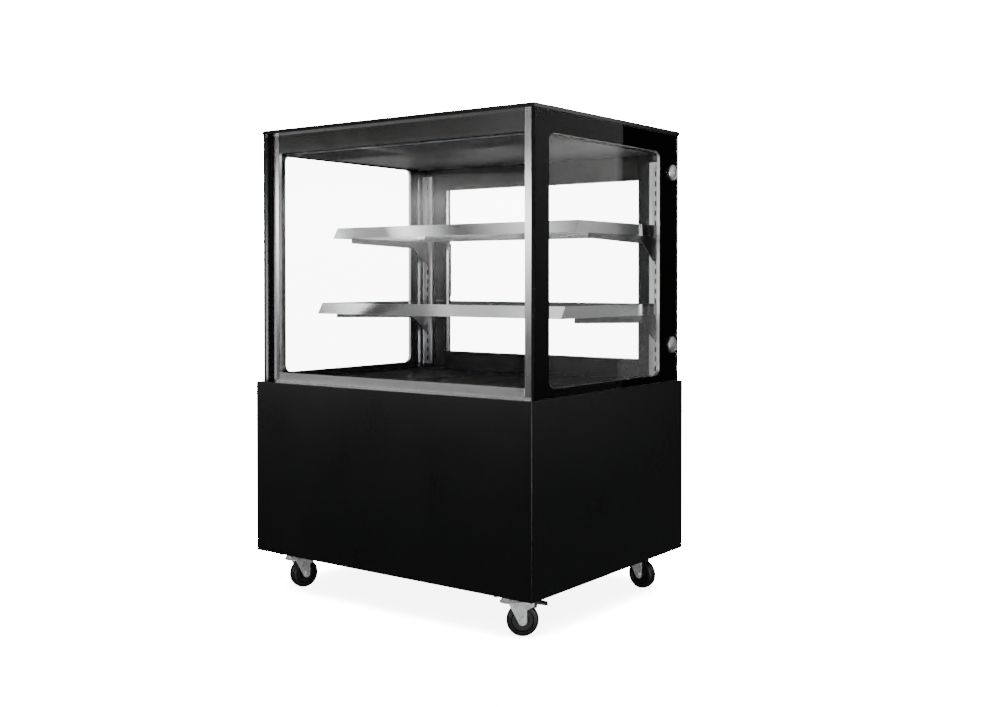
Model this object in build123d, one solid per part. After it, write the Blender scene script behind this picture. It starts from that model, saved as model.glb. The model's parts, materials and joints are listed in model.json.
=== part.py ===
from build123d import *
import os
from math import cos, radians, sin

# Refrigerated cake display case on four casters, in millimetres.
# Origin on the floor under the middle of the case, X to the right as seen from
# the front, Y towards the back, Z up.

# Overall size
case_width = 900
case_depth = 700
case_height = 1214
base_height = 450
caster_height = 98
top_thickness = 10

# Sheet metal of the base
panel_sheet = 1.5
hem_thickness = 2.3
hem_length = 10
edge_radius = 1.8
seam = 0.3
seat = 0.3
rear_panel_inset = 2

# Glass units of the upper case
outer_pane = 8
pane_gap = 8.5
inner_pane = 4
side_inset = 7.6
side_front_inset = 20
side_rear_inset = 12.5
front_inset = 38.5
border_front = 66.6
border_rear = 91.2
border_bottom = 20
border_top = 50
border_radius = 20
border_print = 0.4
spacer_width = 12

# Bright trim and dark fascia at the front
trim_sheet = 1.2
trim_width = 19
trim_lip = 8
bottom_trim_height = 24
fascia_sheet = 1.5
fascia_height = 51

# Top plate and ceiling
top_front_overhang = 2
top_side_overhang = 1.9
top_rear_overhang = 3.8
ceiling_depth = 50
ceiling_sheet = 1.5
lamp_width = 18
lamp_height = 11
lamp_end_gap = 41.9
lamp_setback = 14

# Rear frame and sliding doors
rear_frame_depth = 37.5
rear_frame_wall = 2
post_sight_width = 84.1
sill_height = 54
sight_height = 487
lip_thickness = 4.2
post_rebate = 9.5
track_floor = 2
track_leg = 1.2
bottom_track_depth = 13
top_track_depth = 22
door_thickness = 11
door_running_gap = 0.6
door_floor_gap = 1
glide_gap = 0.3
glide_length = 30
glide_width = 6
door_rebate_cover = 7.5
door_overlap = 24
stile_width = 20
bottom_rail = 15
top_rail = 20
door_pane = 6
glazing_depth = 6
glazing_gap = 0.3
pull_length = 160
pull_width = 14
pull_projection = 8
pull_wall = 2

# Shelves on slotted standards
standard_width = 37
standard_depth = 10
standard_wall = 1.5
standard_side_gap = 8.4
standard_bottom_gap = 14
standard_length = 570
slot_first = 18
slot_pitch = 26
slot_count = 21
slot_width = 4
slot_height = 14
flat_width = 26
flat_thickness = 2.5
shelf_side_gap = 20.3
shelf_rear_gap = 4
shelf_sheet = 1.6
strip_height = 30
strip_slant = 18
strip_lip = 8
ledge_width = 18
shelf_pane = 6
upper_slot = 13
lower_slot = 5
upper_shelf_depth = 376
lower_shelf_depth = 436
bracket_thickness = 3
bracket_arm = 12
bracket_gusset = 65
bracket_front_gap = 50
bracket_above_slot = 15
hook_height = 9
hook_depth = 4
shelf_lamp_width = 14
shelf_lamp_height = 10

# Glass fixing caps
cap_radius = 22
cap_height = 6.5
cap_round = 3.5
cap_setback = 36.5
cap_low = 98
cap_high = 554

# Insulated well, deck and cooling of the display space
well_height = 185
well_wall = 40
well_floor = 35
well_front_wall = 28
well_rear_wall = 47
well_rear_gap = 6.5
deck_sheet = 1.5
deck_slot_length = 60
deck_slot_width = 6
deck_slot_count = 9
deck_slot_pitch = 84
deck_slot_edge = 16
drain_radius = 10
line_hole_radius = 8
evaporator_end_space = 102.1
evaporator_rear_space = 143
evaporator_depth = 90
evaporator_height = 118
liquid_line_inset = 68.1
suction_line_inset = 34.1
bulkhead_gap = 40
bulkhead_sheet = 1.5
evaporator_fan_radius = 62
evaporator_fan_z = 75
evaporator_fan_reach = 13
evaporator_motor_radius = 22
evaporator_motor_length = 28

# Frame, floor and machine compartment
tube = 25
tube_wall = 1.5
caster_rail_width = 60
floor_slot_length = 90
floor_slot_width = 8
floor_slot_count = 7
condenser_side_space = 82.4
condenser_width = 320
condenser_height = 208
condenser_depth = 40
condenser_rear_gap = 0.2
fin_count = 32
shroud_depth = 23
shroud_sheet = 1.2
condenser_fan_radius = 95
fan_tip_gap = 4
condenser_fan_reach = 20
motor_radius = 36
motor_length = 46
compressor_side_space = 77.4
compressor_rear_space = 107.7
compressor_length = 190
compressor_width = 150
compressor_body = 168
grommet_height = 12
grommet_radius = 11
tray_x = 180
tray_length = 240
tray_width = 200
tray_height = 32
tray_wall = 2
liquid_radius = 3.2
gas_radius = 5
drier_radius = 12
drier_length = 100

# Rear panel, louvres and controls
louvre_inset = 30
louvre_to_controls = 130
louvre_margin = 11
louvre_recess = 7.5
louvre_rows = 8
louvre_columns = 2
louvre_hood = 9
louvre_rise = 11
louvre_wall = 1.2
louvre_end = 22
control_inset = 130
controller_drop = 260
controller_width = 78
controller_height = 36
controller_depth = 56
bezel = 1.6
key_radius = 3
key_gap = 0.2
key_pitch = 14
switch_drop = 63
switch_pitch = 44
rocker_width = 13
rocker_half = 9
rocker_tilt = 7
inlet_height = 52
inlet_radius = 9.6
inlet_bore = 4.5

# Casters
wheel_radius = 37.5
wheel_width = 25
hub_radius = 13
hub_width = 28
trail = 30
axle_radius = 4
axle_gap = 0.05
fork_sheet = 2.5
fork_inner = 29.6
crown_radius = 23
crown_underside = 78.5
cone_top = 88
leg_lead = 4
leg_tip_radius = 10
plate_size = 64
plate_sheet = 2.5
race_radius = 21
race_gap = 0.3
kingpin_radius = 5
caster_side_inset = 94
front_caster_inset = 44
rear_caster_inset = 100
front_left_turn = 75
front_right_turn = 36
rear_right_turn = -6
rear_left_turn = 158
pedal_pin_u = 52
pedal_pin_z = 76
pedal_width = 24
pedal_reach = 36

# Levels and faces that follow from the sizes above
half_width = case_width / 2
front_face = -case_depth / 2
rear_face = case_depth / 2
base_bottom = caster_height
base_top = base_bottom + base_height
plate_bottom = case_height - top_thickness
side_glass_x = half_width - side_inset
print_x = side_glass_x - outer_pane
inner_pane_x = print_x - pane_gap
glass_inner_x = inner_pane_x - inner_pane
side_glass_front = front_face + side_front_inset
side_glass_rear = rear_face - side_rear_inset
trim_face = front_face + front_inset
front_pane_y = trim_face + trim_sheet + seat
front_gap_y = front_pane_y + outer_pane
front_inner_y = front_gap_y + pane_gap
front_unit_rear = front_inner_y + inner_pane
trim_rear = front_unit_rear + seat + trim_sheet
trim_outer_x = glass_inner_x - seat
trim_inner_x = trim_outer_x - trim_width
front_unit_x = trim_outer_x - trim_sheet - seat
ceiling_z = plate_bottom - ceiling_depth
rear_frame_front = side_glass_rear - rear_frame_depth
sight_half_width = glass_inner_x - seat - post_sight_width
sight_bottom = base_top + sill_height
sight_top = sight_bottom + sight_height
post_rebate_x = sight_half_width + post_rebate
lane = door_thickness + 2 * door_running_gap
track_front = rear_frame_front + lip_thickness + seam
inner_door_y = track_front + track_leg + door_running_gap
outer_door_y = inner_door_y + lane + track_leg
door_bottom = sight_bottom - bottom_rail
door_top = sight_top + top_rail
sill_seat = door_bottom - door_floor_gap - track_floor
header_seat = sight_top + lip_thickness + top_track_depth
standard_face = rear_frame_front - standard_depth
standard_bottom = base_top + standard_bottom_gap
shelf_rear = standard_face - shelf_rear_gap
shelf_half_width = glass_inner_x - shelf_side_gap
upper_shelf_front = shelf_rear - upper_shelf_depth
lower_shelf_front = shelf_rear - lower_shelf_depth
lamp_length = 2 * (glass_inner_x - lamp_end_gap)
well_bottom = base_top - well_height
well_inner_floor = well_bottom + well_floor
well_x = side_glass_x - seat
well_cavity_x = well_x - well_wall
well_cavity_front = trim_face + well_front_wall
panel_inner_x = half_width - panel_sheet
frame_x = half_width - hem_thickness - seat
frame_front = front_face + panel_sheet + seat
rear_panel_face = rear_face - rear_panel_inset
rear_panel_inner = rear_panel_face - panel_sheet
frame_rear = rear_panel_inner - seat
well_rear = rear_panel_inner - well_rear_gap
well_cavity_rear = well_rear - well_rear_wall
evaporator_length = 2 * (well_cavity_x - evaporator_end_space)
evaporator_y = well_cavity_rear - evaporator_rear_space - evaporator_depth / 2
bulkhead_y = evaporator_y - evaporator_depth / 2 - bulkhead_gap
floor_top = base_bottom + panel_sheet
rail_top = floor_top + tube
ring_bottom = well_bottom - tube
standard_inner_edge = glass_inner_x - standard_side_gap - standard_width
standard_x = standard_inner_edge + standard_width / 2
condenser_x = tube - frame_x + condenser_side_space + condenser_width / 2
condenser_y = frame_rear - tube - condenser_rear_gap - condenser_depth / 2
compressor_x = tube - frame_x + compressor_side_space + compressor_length / 2
shroud_front = condenser_y - condenser_depth / 2 - seat - shroud_depth
compressor_y = shroud_front - compressor_rear_space - compressor_width / 2
control_x = half_width - control_inset
louvre_left = louvre_inset - half_width
louvre_right = control_x - louvre_to_controls
controller_z = base_top - controller_drop
switch_z = controller_z - switch_drop
inlet_z = base_bottom + inlet_height
caster_x = half_width - caster_side_inset
front_caster_y = front_face + front_caster_inset
rear_caster_y = rear_face - rear_caster_inset
crown_top = crown_underside + fork_sheet
caster_plate_bottom = caster_height - plate_sheet


# Shapes that many pieces share

def block(x0, x1, y0, y1, z0, z1):
    middle = Pos((x0 + x1) / 2, (y0 + y1) / 2, (z0 + z1) / 2)
    return middle * Box(x1 - x0, y1 - y0, z1 - z0)


def wide_block(half, y0, y1, z0, z1):
    return block(-half, half, y0, y1, z0, z1)


def prism_x(points, x0, x1):
    outline = make_face(Polyline(*points, close=True))
    return extrude(Plane.YZ.offset(x0) * outline, amount=x1 - x0)


def prism_y(points, y0, y1):
    outline = make_face(Polyline(*points, close=True))
    return extrude(Plane.XZ.offset(-y1) * outline, amount=y1 - y0)


def prism_z(points, z0, z1):
    outline = make_face(Polyline(*points, close=True))
    return extrude(Plane.XY.offset(z0) * outline, amount=z1 - z0)


def rod_x(radius, x0, x1, y, z):
    return Pos((x0 + x1) / 2, y, z) * Rot(0, 90, 0) * Cylinder(radius, x1 - x0)


def rod_y(radius, x, y0, y1, z):
    return Pos(x, (y0 + y1) / 2, z) * Rot(90, 0, 0) * Cylinder(radius, y1 - y0)


def rod_z(radius, x, y, z0, z1):
    return Pos(x, y, (z0 + z1) / 2) * Cylinder(radius, z1 - z0)


def both_sides(solid):
    return [solid, mirror(solid, about=Plane.YZ)]


def pipe(radius, bend, *points):
    path = FilletPolyline(*points, radius=bend)
    start = Plane(origin=points[0], z_dir=path % 0)
    return sweep(start * Circle(radius), path=path)


def window_ring(y0, y1, z0, z1, window, radius, x0, x1):
    """Flat ring in the YZ plane; window gives its opening as y0, y1, z0, z1."""
    ring = block(x0, x1, y0, y1, z0, z1)
    wy0, wy1, wz0, wz1 = window
    opening = block(x0 - 1, x1 + 1, wy0, wy1, wz0, wz1)
    if radius > 0:
        opening = fillet(opening.edges().filter_by(Axis.X), radius)
    return ring - opening


def fan_rotor(radius, hub_radius, hub_depth, blade_count, chord, pitch):
    """Axial fan about Z: cupped hub and cambered blades, middle at the origin."""
    hub = Cylinder(hub_radius, hub_depth)
    hub = fillet(hub.edges().filter_by(GeomType.CIRCLE).sort_by(Axis.Z)[-1], 3)
    camber = ThreePointArc((-chord / 2, 0), (0, chord * 0.12), (chord / 2, 0))
    lower = ThreePointArc((-chord / 2, -1.2), (0, chord * 0.12 - 1.2), (chord / 2, -1.2))
    section = make_face(camber + lower + Line(camber @ 0, lower @ 0) + Line(camber @ 1, lower @ 1))
    blade = extrude(Plane.YZ.offset(hub_radius - 3) * section, amount=radius - hub_radius + 9)
    blade = Rot(pitch, 0, 0) * blade
    rotor = hub
    for index in range(blade_count):
        rotor += Rot(0, 0, index * 360 / blade_count) * blade
    return rotor & Cylinder(radius, 4 * hub_depth)


def finned_pack(x0, x1, y0, y1, z0, z1, fins):
    """Coil block whose upright fins show as a comb along both faces."""
    pitch = (x1 - x0) / fins
    groove = pitch * 0.45
    depth = (y1 - y0) * 0.3
    points = [(x0, y0)]
    for index in range(fins - 1):
        edge = x0 + (index + 1) * pitch - groove / 2
        points += [(edge, y0), (edge, y0 + depth), (edge + groove, y0 + depth), (edge + groove, y0)]
    points.append((x1, y0))
    points.append((x1, y1))
    for index in reversed(range(fins - 1)):
        edge = x0 + (index + 1) * pitch + groove / 2
        points += [(edge, y1), (edge, y1 - depth), (edge - groove, y1 - depth), (edge - groove, y1)]
    points.append((x0, y1))
    return prism_z(points, z0, z1)


def return_bends(x, side, y, radius, spacing, z0, count):
    """Half-round tube bends that stand out of a coil's end plate."""
    bends = []
    for index in range(count):
        z = z0 + 2 * index * spacing
        reach = x + side * 6
        path = Line((x, y, z), (reach, y, z))
        path += ThreePointArc((reach, y, z), (reach + side * spacing / 2, y, z + spacing / 2),
                              (reach, y, z + spacing))
        path += Line((reach, y, z + spacing), (x, y, z + spacing))
        section = Plane(origin=(x, y, z), z_dir=(side, 0, 0)) * Circle(radius)
        bends.append(sweep(section, path=Wire(path.edges())))
    return bends


# Base: frame, floor and panels

def square_tube(x0, x1, y0, y1, z0, z1, along):
    outer = block(x0, x1, y0, y1, z0, z1)
    wall = {name: 0 if name == along else tube_wall for name in "xyz"}
    inner = block(x0 + wall["x"], x1 - wall["x"], y0 + wall["y"], y1 - wall["y"],
                  z0 + wall["z"], z1 - wall["z"])
    return outer - inner


def tube_ring(z0):
    z1 = z0 + tube
    front = square_tube(-frame_x, frame_x, frame_front, frame_front + tube, z0, z1, "x")
    rear = square_tube(-frame_x, frame_x, frame_rear - tube, frame_rear, z0, z1, "x")
    side = square_tube(frame_x - tube, frame_x, frame_front + tube, frame_rear - tube, z0, z1, "y")
    return [front, rear] + both_sides(side)


def base_frame():
    uprights = []
    for y0 in (frame_front, frame_rear - tube):
        upright = square_tube(frame_x - tube, frame_x, y0, y0 + tube, rail_top, ring_bottom, "z")
        uprights += both_sides(upright)
    rails = []
    for y in (front_caster_y, rear_caster_y):
        front = max(y - caster_rail_width / 2, frame_front + tube)
        rear = y + caster_rail_width / 2
        rails.append(square_tube(tube - frame_x, frame_x - tube, front, rear, floor_top, rail_top, "x"))
    return tube_ring(floor_top) + tube_ring(ring_bottom) + uprights + rails


def base_front_panel():
    x1 = half_width - hem_thickness - seam
    sheet = wide_block(x1, front_face, front_face + panel_sheet, base_bottom, base_top)
    top_flange = wide_block(side_glass_x, front_face, trim_face - seam, base_top - panel_sheet, base_top)
    bottom_flange = wide_block(x1, front_face, frame_front - seat / 2, base_bottom, floor_top)
    panel = sheet + top_flange + bottom_flange
    edges = panel.edges().filter_by(Axis.X).group_by(Axis.Y)[0]
    return fillet([edge for edge in edges if edge.length > side_glass_x], panel_sheet * 0.9)


def base_side_panel():
    sheet = block(panel_inner_x, half_width, front_face, rear_face, base_bottom, base_top)
    flange = block(side_glass_x + seam, half_width, front_face + panel_sheet + seam, rear_panel_inner - seam,
                   base_top - panel_sheet, base_top)
    inner = half_width - hem_thickness
    front_hem = block(inner, half_width, front_face, front_face + hem_length, base_bottom, base_top)
    rear_hem = block(inner, half_width, rear_face - rear_panel_inset, rear_face, base_bottom, base_top)
    panel = sheet + flange + front_hem + rear_hem
    outer = panel.edges().filter_by(Axis.Z).group_by(Axis.X)[-1]
    panel = fillet(outer, edge_radius)
    upper = panel.edges().filter_by(Axis.Y).filter_by_position(Axis.Z, base_top - 0.1, base_top + 0.1)
    return fillet(upper.sort_by(Axis.X)[-1], panel_sheet * 0.9)


def floor_pan():
    pan = wide_block(frame_x, frame_front, frame_rear, base_bottom, floor_top)
    slot = block(0, floor_slot_length, 0, floor_slot_width, base_bottom - 1, floor_top + 1)
    for index in range(floor_slot_count):
        y = -150 + index * 3 * floor_slot_width
        pan -= Pos(compressor_x - floor_slot_length / 2 + 10, y - 60, 0) * slot
        pan -= Pos(tray_x + tray_length / 2 + floor_slot_width, y, 0) * slot
    return pan


def rear_panel():
    x1 = half_width - hem_thickness - seam
    z0, z1 = louvre_window()
    panel = wide_block(x1, rear_panel_inner, rear_panel_face, base_bottom, base_top)
    panel += wide_block(side_glass_x, side_glass_rear + seam, rear_panel_face, base_top - panel_sheet,
                        base_top)
    panel -= block(louvre_left + louvre_margin, louvre_right - louvre_margin, rear_panel_inner - 1,
                   rear_face, z0 + louvre_margin, z1 - louvre_margin)
    panel -= cut_through(controller_width - 6, controller_height - 6, control_x, controller_z)
    for x in switch_places():
        panel -= cut_through(rocker_width + 3.4, 2 * rocker_half + 3.8, x, switch_z)
    return panel - rod_y(inlet_radius + seat, control_x, rear_panel_inner - 1, rear_face, inlet_z)


def cut_through(width, height, x, z):
    return block(x - width / 2, x + width / 2, rear_panel_inner - 1, rear_face, z - height / 2,
                 z + height / 2)


def louvre_window():
    return rail_top + seat, ring_bottom - seat


def louvre_panel():
    z0, z1 = louvre_window()
    rim_rear = rear_panel_inner - seat / 2
    pan_rear = rim_rear - louvre_recess
    pan = block(louvre_left, louvre_right, rim_rear - louvre_wall, rim_rear, z0, z1)
    x0 = louvre_left + louvre_margin
    x1 = louvre_right - louvre_margin
    low = z0 + louvre_margin
    high = z1 - louvre_margin
    pan += block(x0, x1, pan_rear - louvre_wall, rim_rear, low, high)
    pan -= block(x0 + louvre_wall, x1 - louvre_wall, pan_rear, rim_rear + 1, low + louvre_wall,
                 high - louvre_wall)
    pitch = (high - low - 2 * louvre_wall) / louvre_rows
    span = (x1 - x0) / louvre_columns
    for row in range(louvre_rows):
        z = low + louvre_wall + (row + 0.25) * pitch
        for column in range(louvre_columns):
            left = x0 + column * span + louvre_end
            right = x0 + (column + 1) * span - louvre_end
            pan -= block(left, right, pan_rear - louvre_wall - 1, pan_rear + 1, z, z + louvre_rise)
            pan += louvre_hood_shell(left, right, pan_rear, z)
    return pan


def louvre_hood_shell(left, right, face, z):
    """Pressed hood: a quarter-round cover, closed at both ends and open below."""
    outer = quarter_round(left - louvre_wall, right + louvre_wall, face, z, louvre_hood, louvre_rise)
    inner = quarter_round(left, right, face, z, louvre_hood - louvre_wall, louvre_rise - louvre_wall)
    root = block(left - louvre_wall, right + louvre_wall, face - louvre_wall, face,
                 z + louvre_rise - louvre_wall, z + louvre_rise)
    return outer - inner + root


def quarter_round(x0, x1, face, z, reach, rise):
    curve = TangentArc((face + reach, z), (face, z + rise), tangent=(0, 1))
    outline = make_face(curve + Line((face, z + rise), (face, z)) + Line((face, z), (face + reach, z)))
    return extrude(Plane.YZ.offset(x0) * outline, amount=x1 - x0)


# Glass units

def side_outer_pane():
    pane = block(print_x, side_glass_x, side_glass_front, side_glass_rear, base_top, plate_bottom)
    return pane


def side_inner_pane():
    return block(glass_inner_x, inner_pane_x, trim_face, side_glass_rear, base_top, plate_bottom)


def front_outer_pane():
    bottom = base_top + trim_sheet + seat
    return wide_block(front_unit_x, front_pane_y, front_gap_y, bottom, front_unit_top())


def front_inner_pane():
    bottom = base_top + trim_sheet + seat
    return wide_block(front_unit_x, front_inner_y, front_unit_rear, bottom, front_unit_top())


def front_unit_top():
    return plate_bottom - fascia_sheet - seat


def inner_panes():
    return [front_inner_pane()] + both_sides(side_inner_pane())


def pane_borders():
    window = (side_glass_front + border_front, side_glass_rear - border_rear,
              base_top + border_bottom, plate_bottom - border_top)
    printed = window_ring(side_glass_front, side_glass_rear, base_top, plate_bottom, window, border_radius,
                          print_x - border_print, print_x)
    spacer = window_ring(trim_face, side_glass_rear, base_top, plate_bottom, window, border_radius,
                         inner_pane_x, print_x - border_print)
    return both_sides(printed) + both_sides(spacer) + [front_spacer()]


def front_spacer():
    bottom = base_top + trim_sheet + seat
    top = front_unit_top()
    ring = wide_block(front_unit_x, front_gap_y, front_inner_y, bottom, top)
    hollow = wide_block(front_unit_x - spacer_width, front_gap_y - 1, front_inner_y + 1,
                        bottom + spacer_width, top - spacer_width)
    return ring - hollow


def glass_caps():
    caps = []
    for rise in (cap_low, cap_high):
        cap = Pos(cap_height / 2, 0, 0) * Rot(0, 90, 0) * Cylinder(cap_radius, cap_height)
        rim = cap.edges().filter_by(GeomType.CIRCLE).sort_by(Axis.X)[-1]
        cap = fillet(rim, cap_round)
        caps += both_sides(Pos(side_glass_x, side_glass_rear - cap_setback, base_top + rise) * cap)
    return caps


# Front trim, fascia, top and ceiling

def front_trim():
    upright = block(trim_inner_x, trim_outer_x, trim_face, trim_face + trim_sheet, base_top, plate_bottom)
    web = block(trim_outer_x - trim_sheet, trim_outer_x, trim_face, trim_rear, base_top, plate_bottom)
    lip = block(trim_outer_x - trim_lip, trim_outer_x, trim_rear - trim_sheet, trim_rear, base_top,
                plate_bottom)
    span = trim_inner_x - seam
    face = wide_block(span, trim_face, trim_face + trim_sheet, base_top, base_top + bottom_trim_height)
    floor = wide_block(span, trim_face, trim_rear, base_top, base_top + trim_sheet)
    back = wide_block(span, trim_rear - trim_sheet, trim_rear, base_top, base_top + trim_lip)
    return both_sides(upright + web + lip) + [face + floor + back]


def front_fascia():
    span = trim_inner_x - seam
    bottom = plate_bottom - fascia_height
    face = wide_block(span, trim_face, trim_face + trim_sheet, bottom, plate_bottom)
    web = wide_block(span, trim_face, trim_rear, plate_bottom - fascia_sheet, plate_bottom)
    back = wide_block(span, trim_rear - trim_sheet, trim_rear, bottom, plate_bottom)
    return face + web + back


def top_plate():
    x1 = side_glass_x + top_side_overhang
    plate = wide_block(x1, side_glass_front - top_front_overhang, side_glass_rear + top_rear_overhang,
                       plate_bottom, case_height)
    return chamfer(plate.edges().group_by(Axis.Z)[-1], 0.8)


def lamp_recess():
    y0 = trim_rear + seam + lamp_setback
    return y0, y0 + lamp_width


def ceiling_panel():
    """Folded tray, open at the top, with a pressed channel for the lamp."""
    x1 = glass_inner_x - seat
    y0, y1 = trim_rear + seam, rear_frame_front - seam
    sheet = ceiling_sheet
    panel = wide_block(x1, y0, y1, ceiling_z, plate_bottom)
    panel -= wide_block(x1 - sheet, y0 + sheet, y1 - sheet, ceiling_z + sheet, plate_bottom + 1)
    lamp_front, lamp_rear = lamp_recess()
    half = lamp_length / 2 + 1
    top = ceiling_z + lamp_height + seat
    panel += wide_block(half + sheet, lamp_front - seat - sheet, lamp_rear + seat + sheet, ceiling_z,
                        top + sheet)
    return panel - wide_block(half, lamp_front - seat, lamp_rear + seat, ceiling_z - 1, top)


def canopy_lamp():
    y0, y1 = lamp_recess()
    return wide_block(lamp_length / 2, y0, y1, ceiling_z, ceiling_z + lamp_height)


def shelf_lamp(front, top):
    y0 = front + shelf_sheet
    z1 = top - shelf_pane - 0.4 - shelf_sheet
    points = [(y0, z1), (y0, z1 - shelf_lamp_height * 0.6), (y0 + 4, z1 - shelf_lamp_height),
              (y0 + shelf_lamp_width - 4, z1 - shelf_lamp_height),
              (y0 + shelf_lamp_width, z1 - shelf_lamp_height * 0.6), (y0 + shelf_lamp_width, z1)]
    return prism_x(points, -lamp_length / 2, lamp_length / 2)


def led_lamps():
    return [canopy_lamp(), shelf_lamp(upper_shelf_front, shelf_top(upper_slot)),
            shelf_lamp(lower_shelf_front, shelf_top(lower_slot))]


# Rear frame and its tracks

def rear_post():
    x0, x1 = sight_half_width, glass_inner_x - seat
    y0, y1 = rear_frame_front, side_glass_rear
    wall = rear_frame_wall
    lip = block(x0, x1, y0, y0 + lip_thickness, base_top, plate_bottom)
    body = block(post_rebate_x, x1, y0, y1, base_top, plate_bottom)
    hollow = block(post_rebate_x + wall, x1 - wall, y0 + wall, y1 - wall, base_top - 1, plate_bottom + 1)
    return lip + body - hollow


def rear_bar(lip_z0, lip_z1, z0, z1):
    """Hollow bar across the rear with the lip that hides the doors' rails."""
    y0, y1 = rear_frame_front + lip_thickness, side_glass_rear
    wall = rear_frame_wall
    lip = wide_block(sight_half_width - seam, rear_frame_front, y0, lip_z0, lip_z1)
    body = wide_block(post_rebate_x - seam, y0, y1, z0, z1)
    return lip + body - wide_block(post_rebate_x, y0 + wall, y1 - wall, z0 + wall, z1 - wall)


def rear_frame():
    header = rear_bar(sight_top, plate_bottom, header_seat, plate_bottom)
    sill = rear_bar(base_top, sight_bottom, base_top, sill_seat)
    return both_sides(rear_post()) + [header, sill]


def door_track(seat_z, depth, side):
    """Two-lane channel; side is 1 where its legs stand up and -1 where they hang."""
    legs = [track_front + index * (lane + track_leg) for index in range(3)]
    rear = legs[-1] + track_leg
    z_floor = seat_z + side * track_floor
    z_tip = seat_z + side * depth
    track = wide_block(post_rebate_x - seam, track_front, rear, min(seat_z, z_floor), max(seat_z, z_floor))
    for y in legs:
        track += wide_block(post_rebate_x - seam, y, y + track_leg, min(seat_z, z_tip), max(seat_z, z_tip))
    return track


def door_tracks():
    return [door_track(sill_seat, bottom_track_depth, 1), door_track(header_seat, top_track_depth, -1)]


# Sliding doors

def door_span():
    return -(sight_half_width + door_rebate_cover), door_overlap / 2


def door_frame(y0):
    """Frame of the left-hand door, standing in the lane that starts at y0."""
    x0, x1 = door_span()
    y1 = y0 + door_thickness
    frame = block(x0, x1, y0, y1, door_bottom, door_top)
    frame -= block(x0 + stile_width, x1 - stile_width, y0 - 1, y1 + 1,
                   door_bottom + bottom_rail, door_top - top_rail)
    middle = (y0 + y1) / 2
    groove = door_pane / 2 + glazing_gap
    frame -= block(x0 + stile_width - glazing_depth, x1 - stile_width + glazing_depth, middle - groove,
                   middle + groove, door_bottom + bottom_rail - glazing_depth,
                   door_top - top_rail + glazing_depth)
    glide = block(-glide_length / 2, glide_length / 2, middle - glide_width / 2, middle + glide_width / 2,
                  door_bottom - door_floor_gap + glide_gap, door_bottom + 1)
    for x in (x0 + stile_width + glide_length, x1 - stile_width - glide_length):
        frame += Pos(x, 0, 0) * glide
    return frame + door_pull(x0, y1)


def door_pull(x0, y1):
    """Full grip on the outer stile: a standing flange with a turned edge."""
    middle = (door_bottom + door_top) / 2
    left = x0 + (stile_width - pull_width) / 2
    right = left + pull_width
    points = [(left, y1 - 0.5), (left, y1 + pull_wall), (right - pull_wall, y1 + pull_wall),
              (right - pull_wall, y1 + pull_projection), (right, y1 + pull_projection), (right, y1 - 0.5)]
    return prism_z(points, middle - pull_length / 2, middle + pull_length / 2)


def door_glass(y0):
    x0, x1 = door_span()
    middle = y0 + door_thickness / 2
    grip = glazing_depth - glazing_gap
    return block(x0 + stile_width - grip, x1 - stile_width + grip, middle - door_pane / 2,
                 middle + door_pane / 2, door_bottom + bottom_rail - grip, door_top - top_rail + grip)


def flip(solid):
    return mirror(solid, about=Plane.YZ)


# Shelves, their standards and brackets

def slot_z(index):
    return standard_bottom + slot_first + index * slot_pitch


def shelf_top(slot):
    return slot_z(slot) + bracket_above_slot + strip_height


def shelf_standard():
    x0 = standard_inner_edge
    x1 = x0 + standard_width
    z1 = standard_bottom + standard_length
    channel = block(x0, x1, standard_face, rear_frame_front, standard_bottom, z1)
    channel -= block(x0 + standard_wall, x1 - standard_wall, standard_face + standard_wall,
                     rear_frame_front + 1, standard_bottom - 1, z1 + 1)
    for index in range(slot_count):
        z = slot_z(index)
        channel -= block(standard_x - slot_width / 2, standard_x + slot_width / 2, standard_face - 1,
                         standard_face + standard_wall + 1, z - slot_height / 2, z + slot_height / 2)
    return channel


def standard_flat():
    x1 = glass_inner_x - seat
    return block(x1 - flat_thickness, x1, rear_frame_front - flat_width, rear_frame_front, base_top,
                 ceiling_z - seat)


def shelf_standards():
    return both_sides(shelf_standard()) + both_sides(standard_flat())


def shelf_bracket(slot, front):
    top = slot_z(slot) + bracket_above_slot
    tip = front + bracket_front_gap
    knee = standard_face - bracket_gusset
    points = [(standard_face, top), (tip, top), (tip, top - bracket_arm), (knee, top - 1.7 * bracket_arm),
              (standard_face - 10, top - bracket_gusset), (standard_face, top - bracket_gusset)]
    x0 = standard_x - bracket_thickness / 2
    bracket = prism_x(points, x0, x0 + bracket_thickness)
    for index in (slot, slot - 1):
        z = slot_z(index)
        bracket += block(x0, x0 + bracket_thickness, standard_face - 1, standard_face + hook_depth,
                         z - hook_height / 2, z + hook_height / 2)
    return bracket


def shelf_brackets():
    upper = shelf_bracket(upper_slot, upper_shelf_front)
    lower = shelf_bracket(lower_slot, lower_shelf_front)
    return both_sides(upper) + both_sides(lower)


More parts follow.
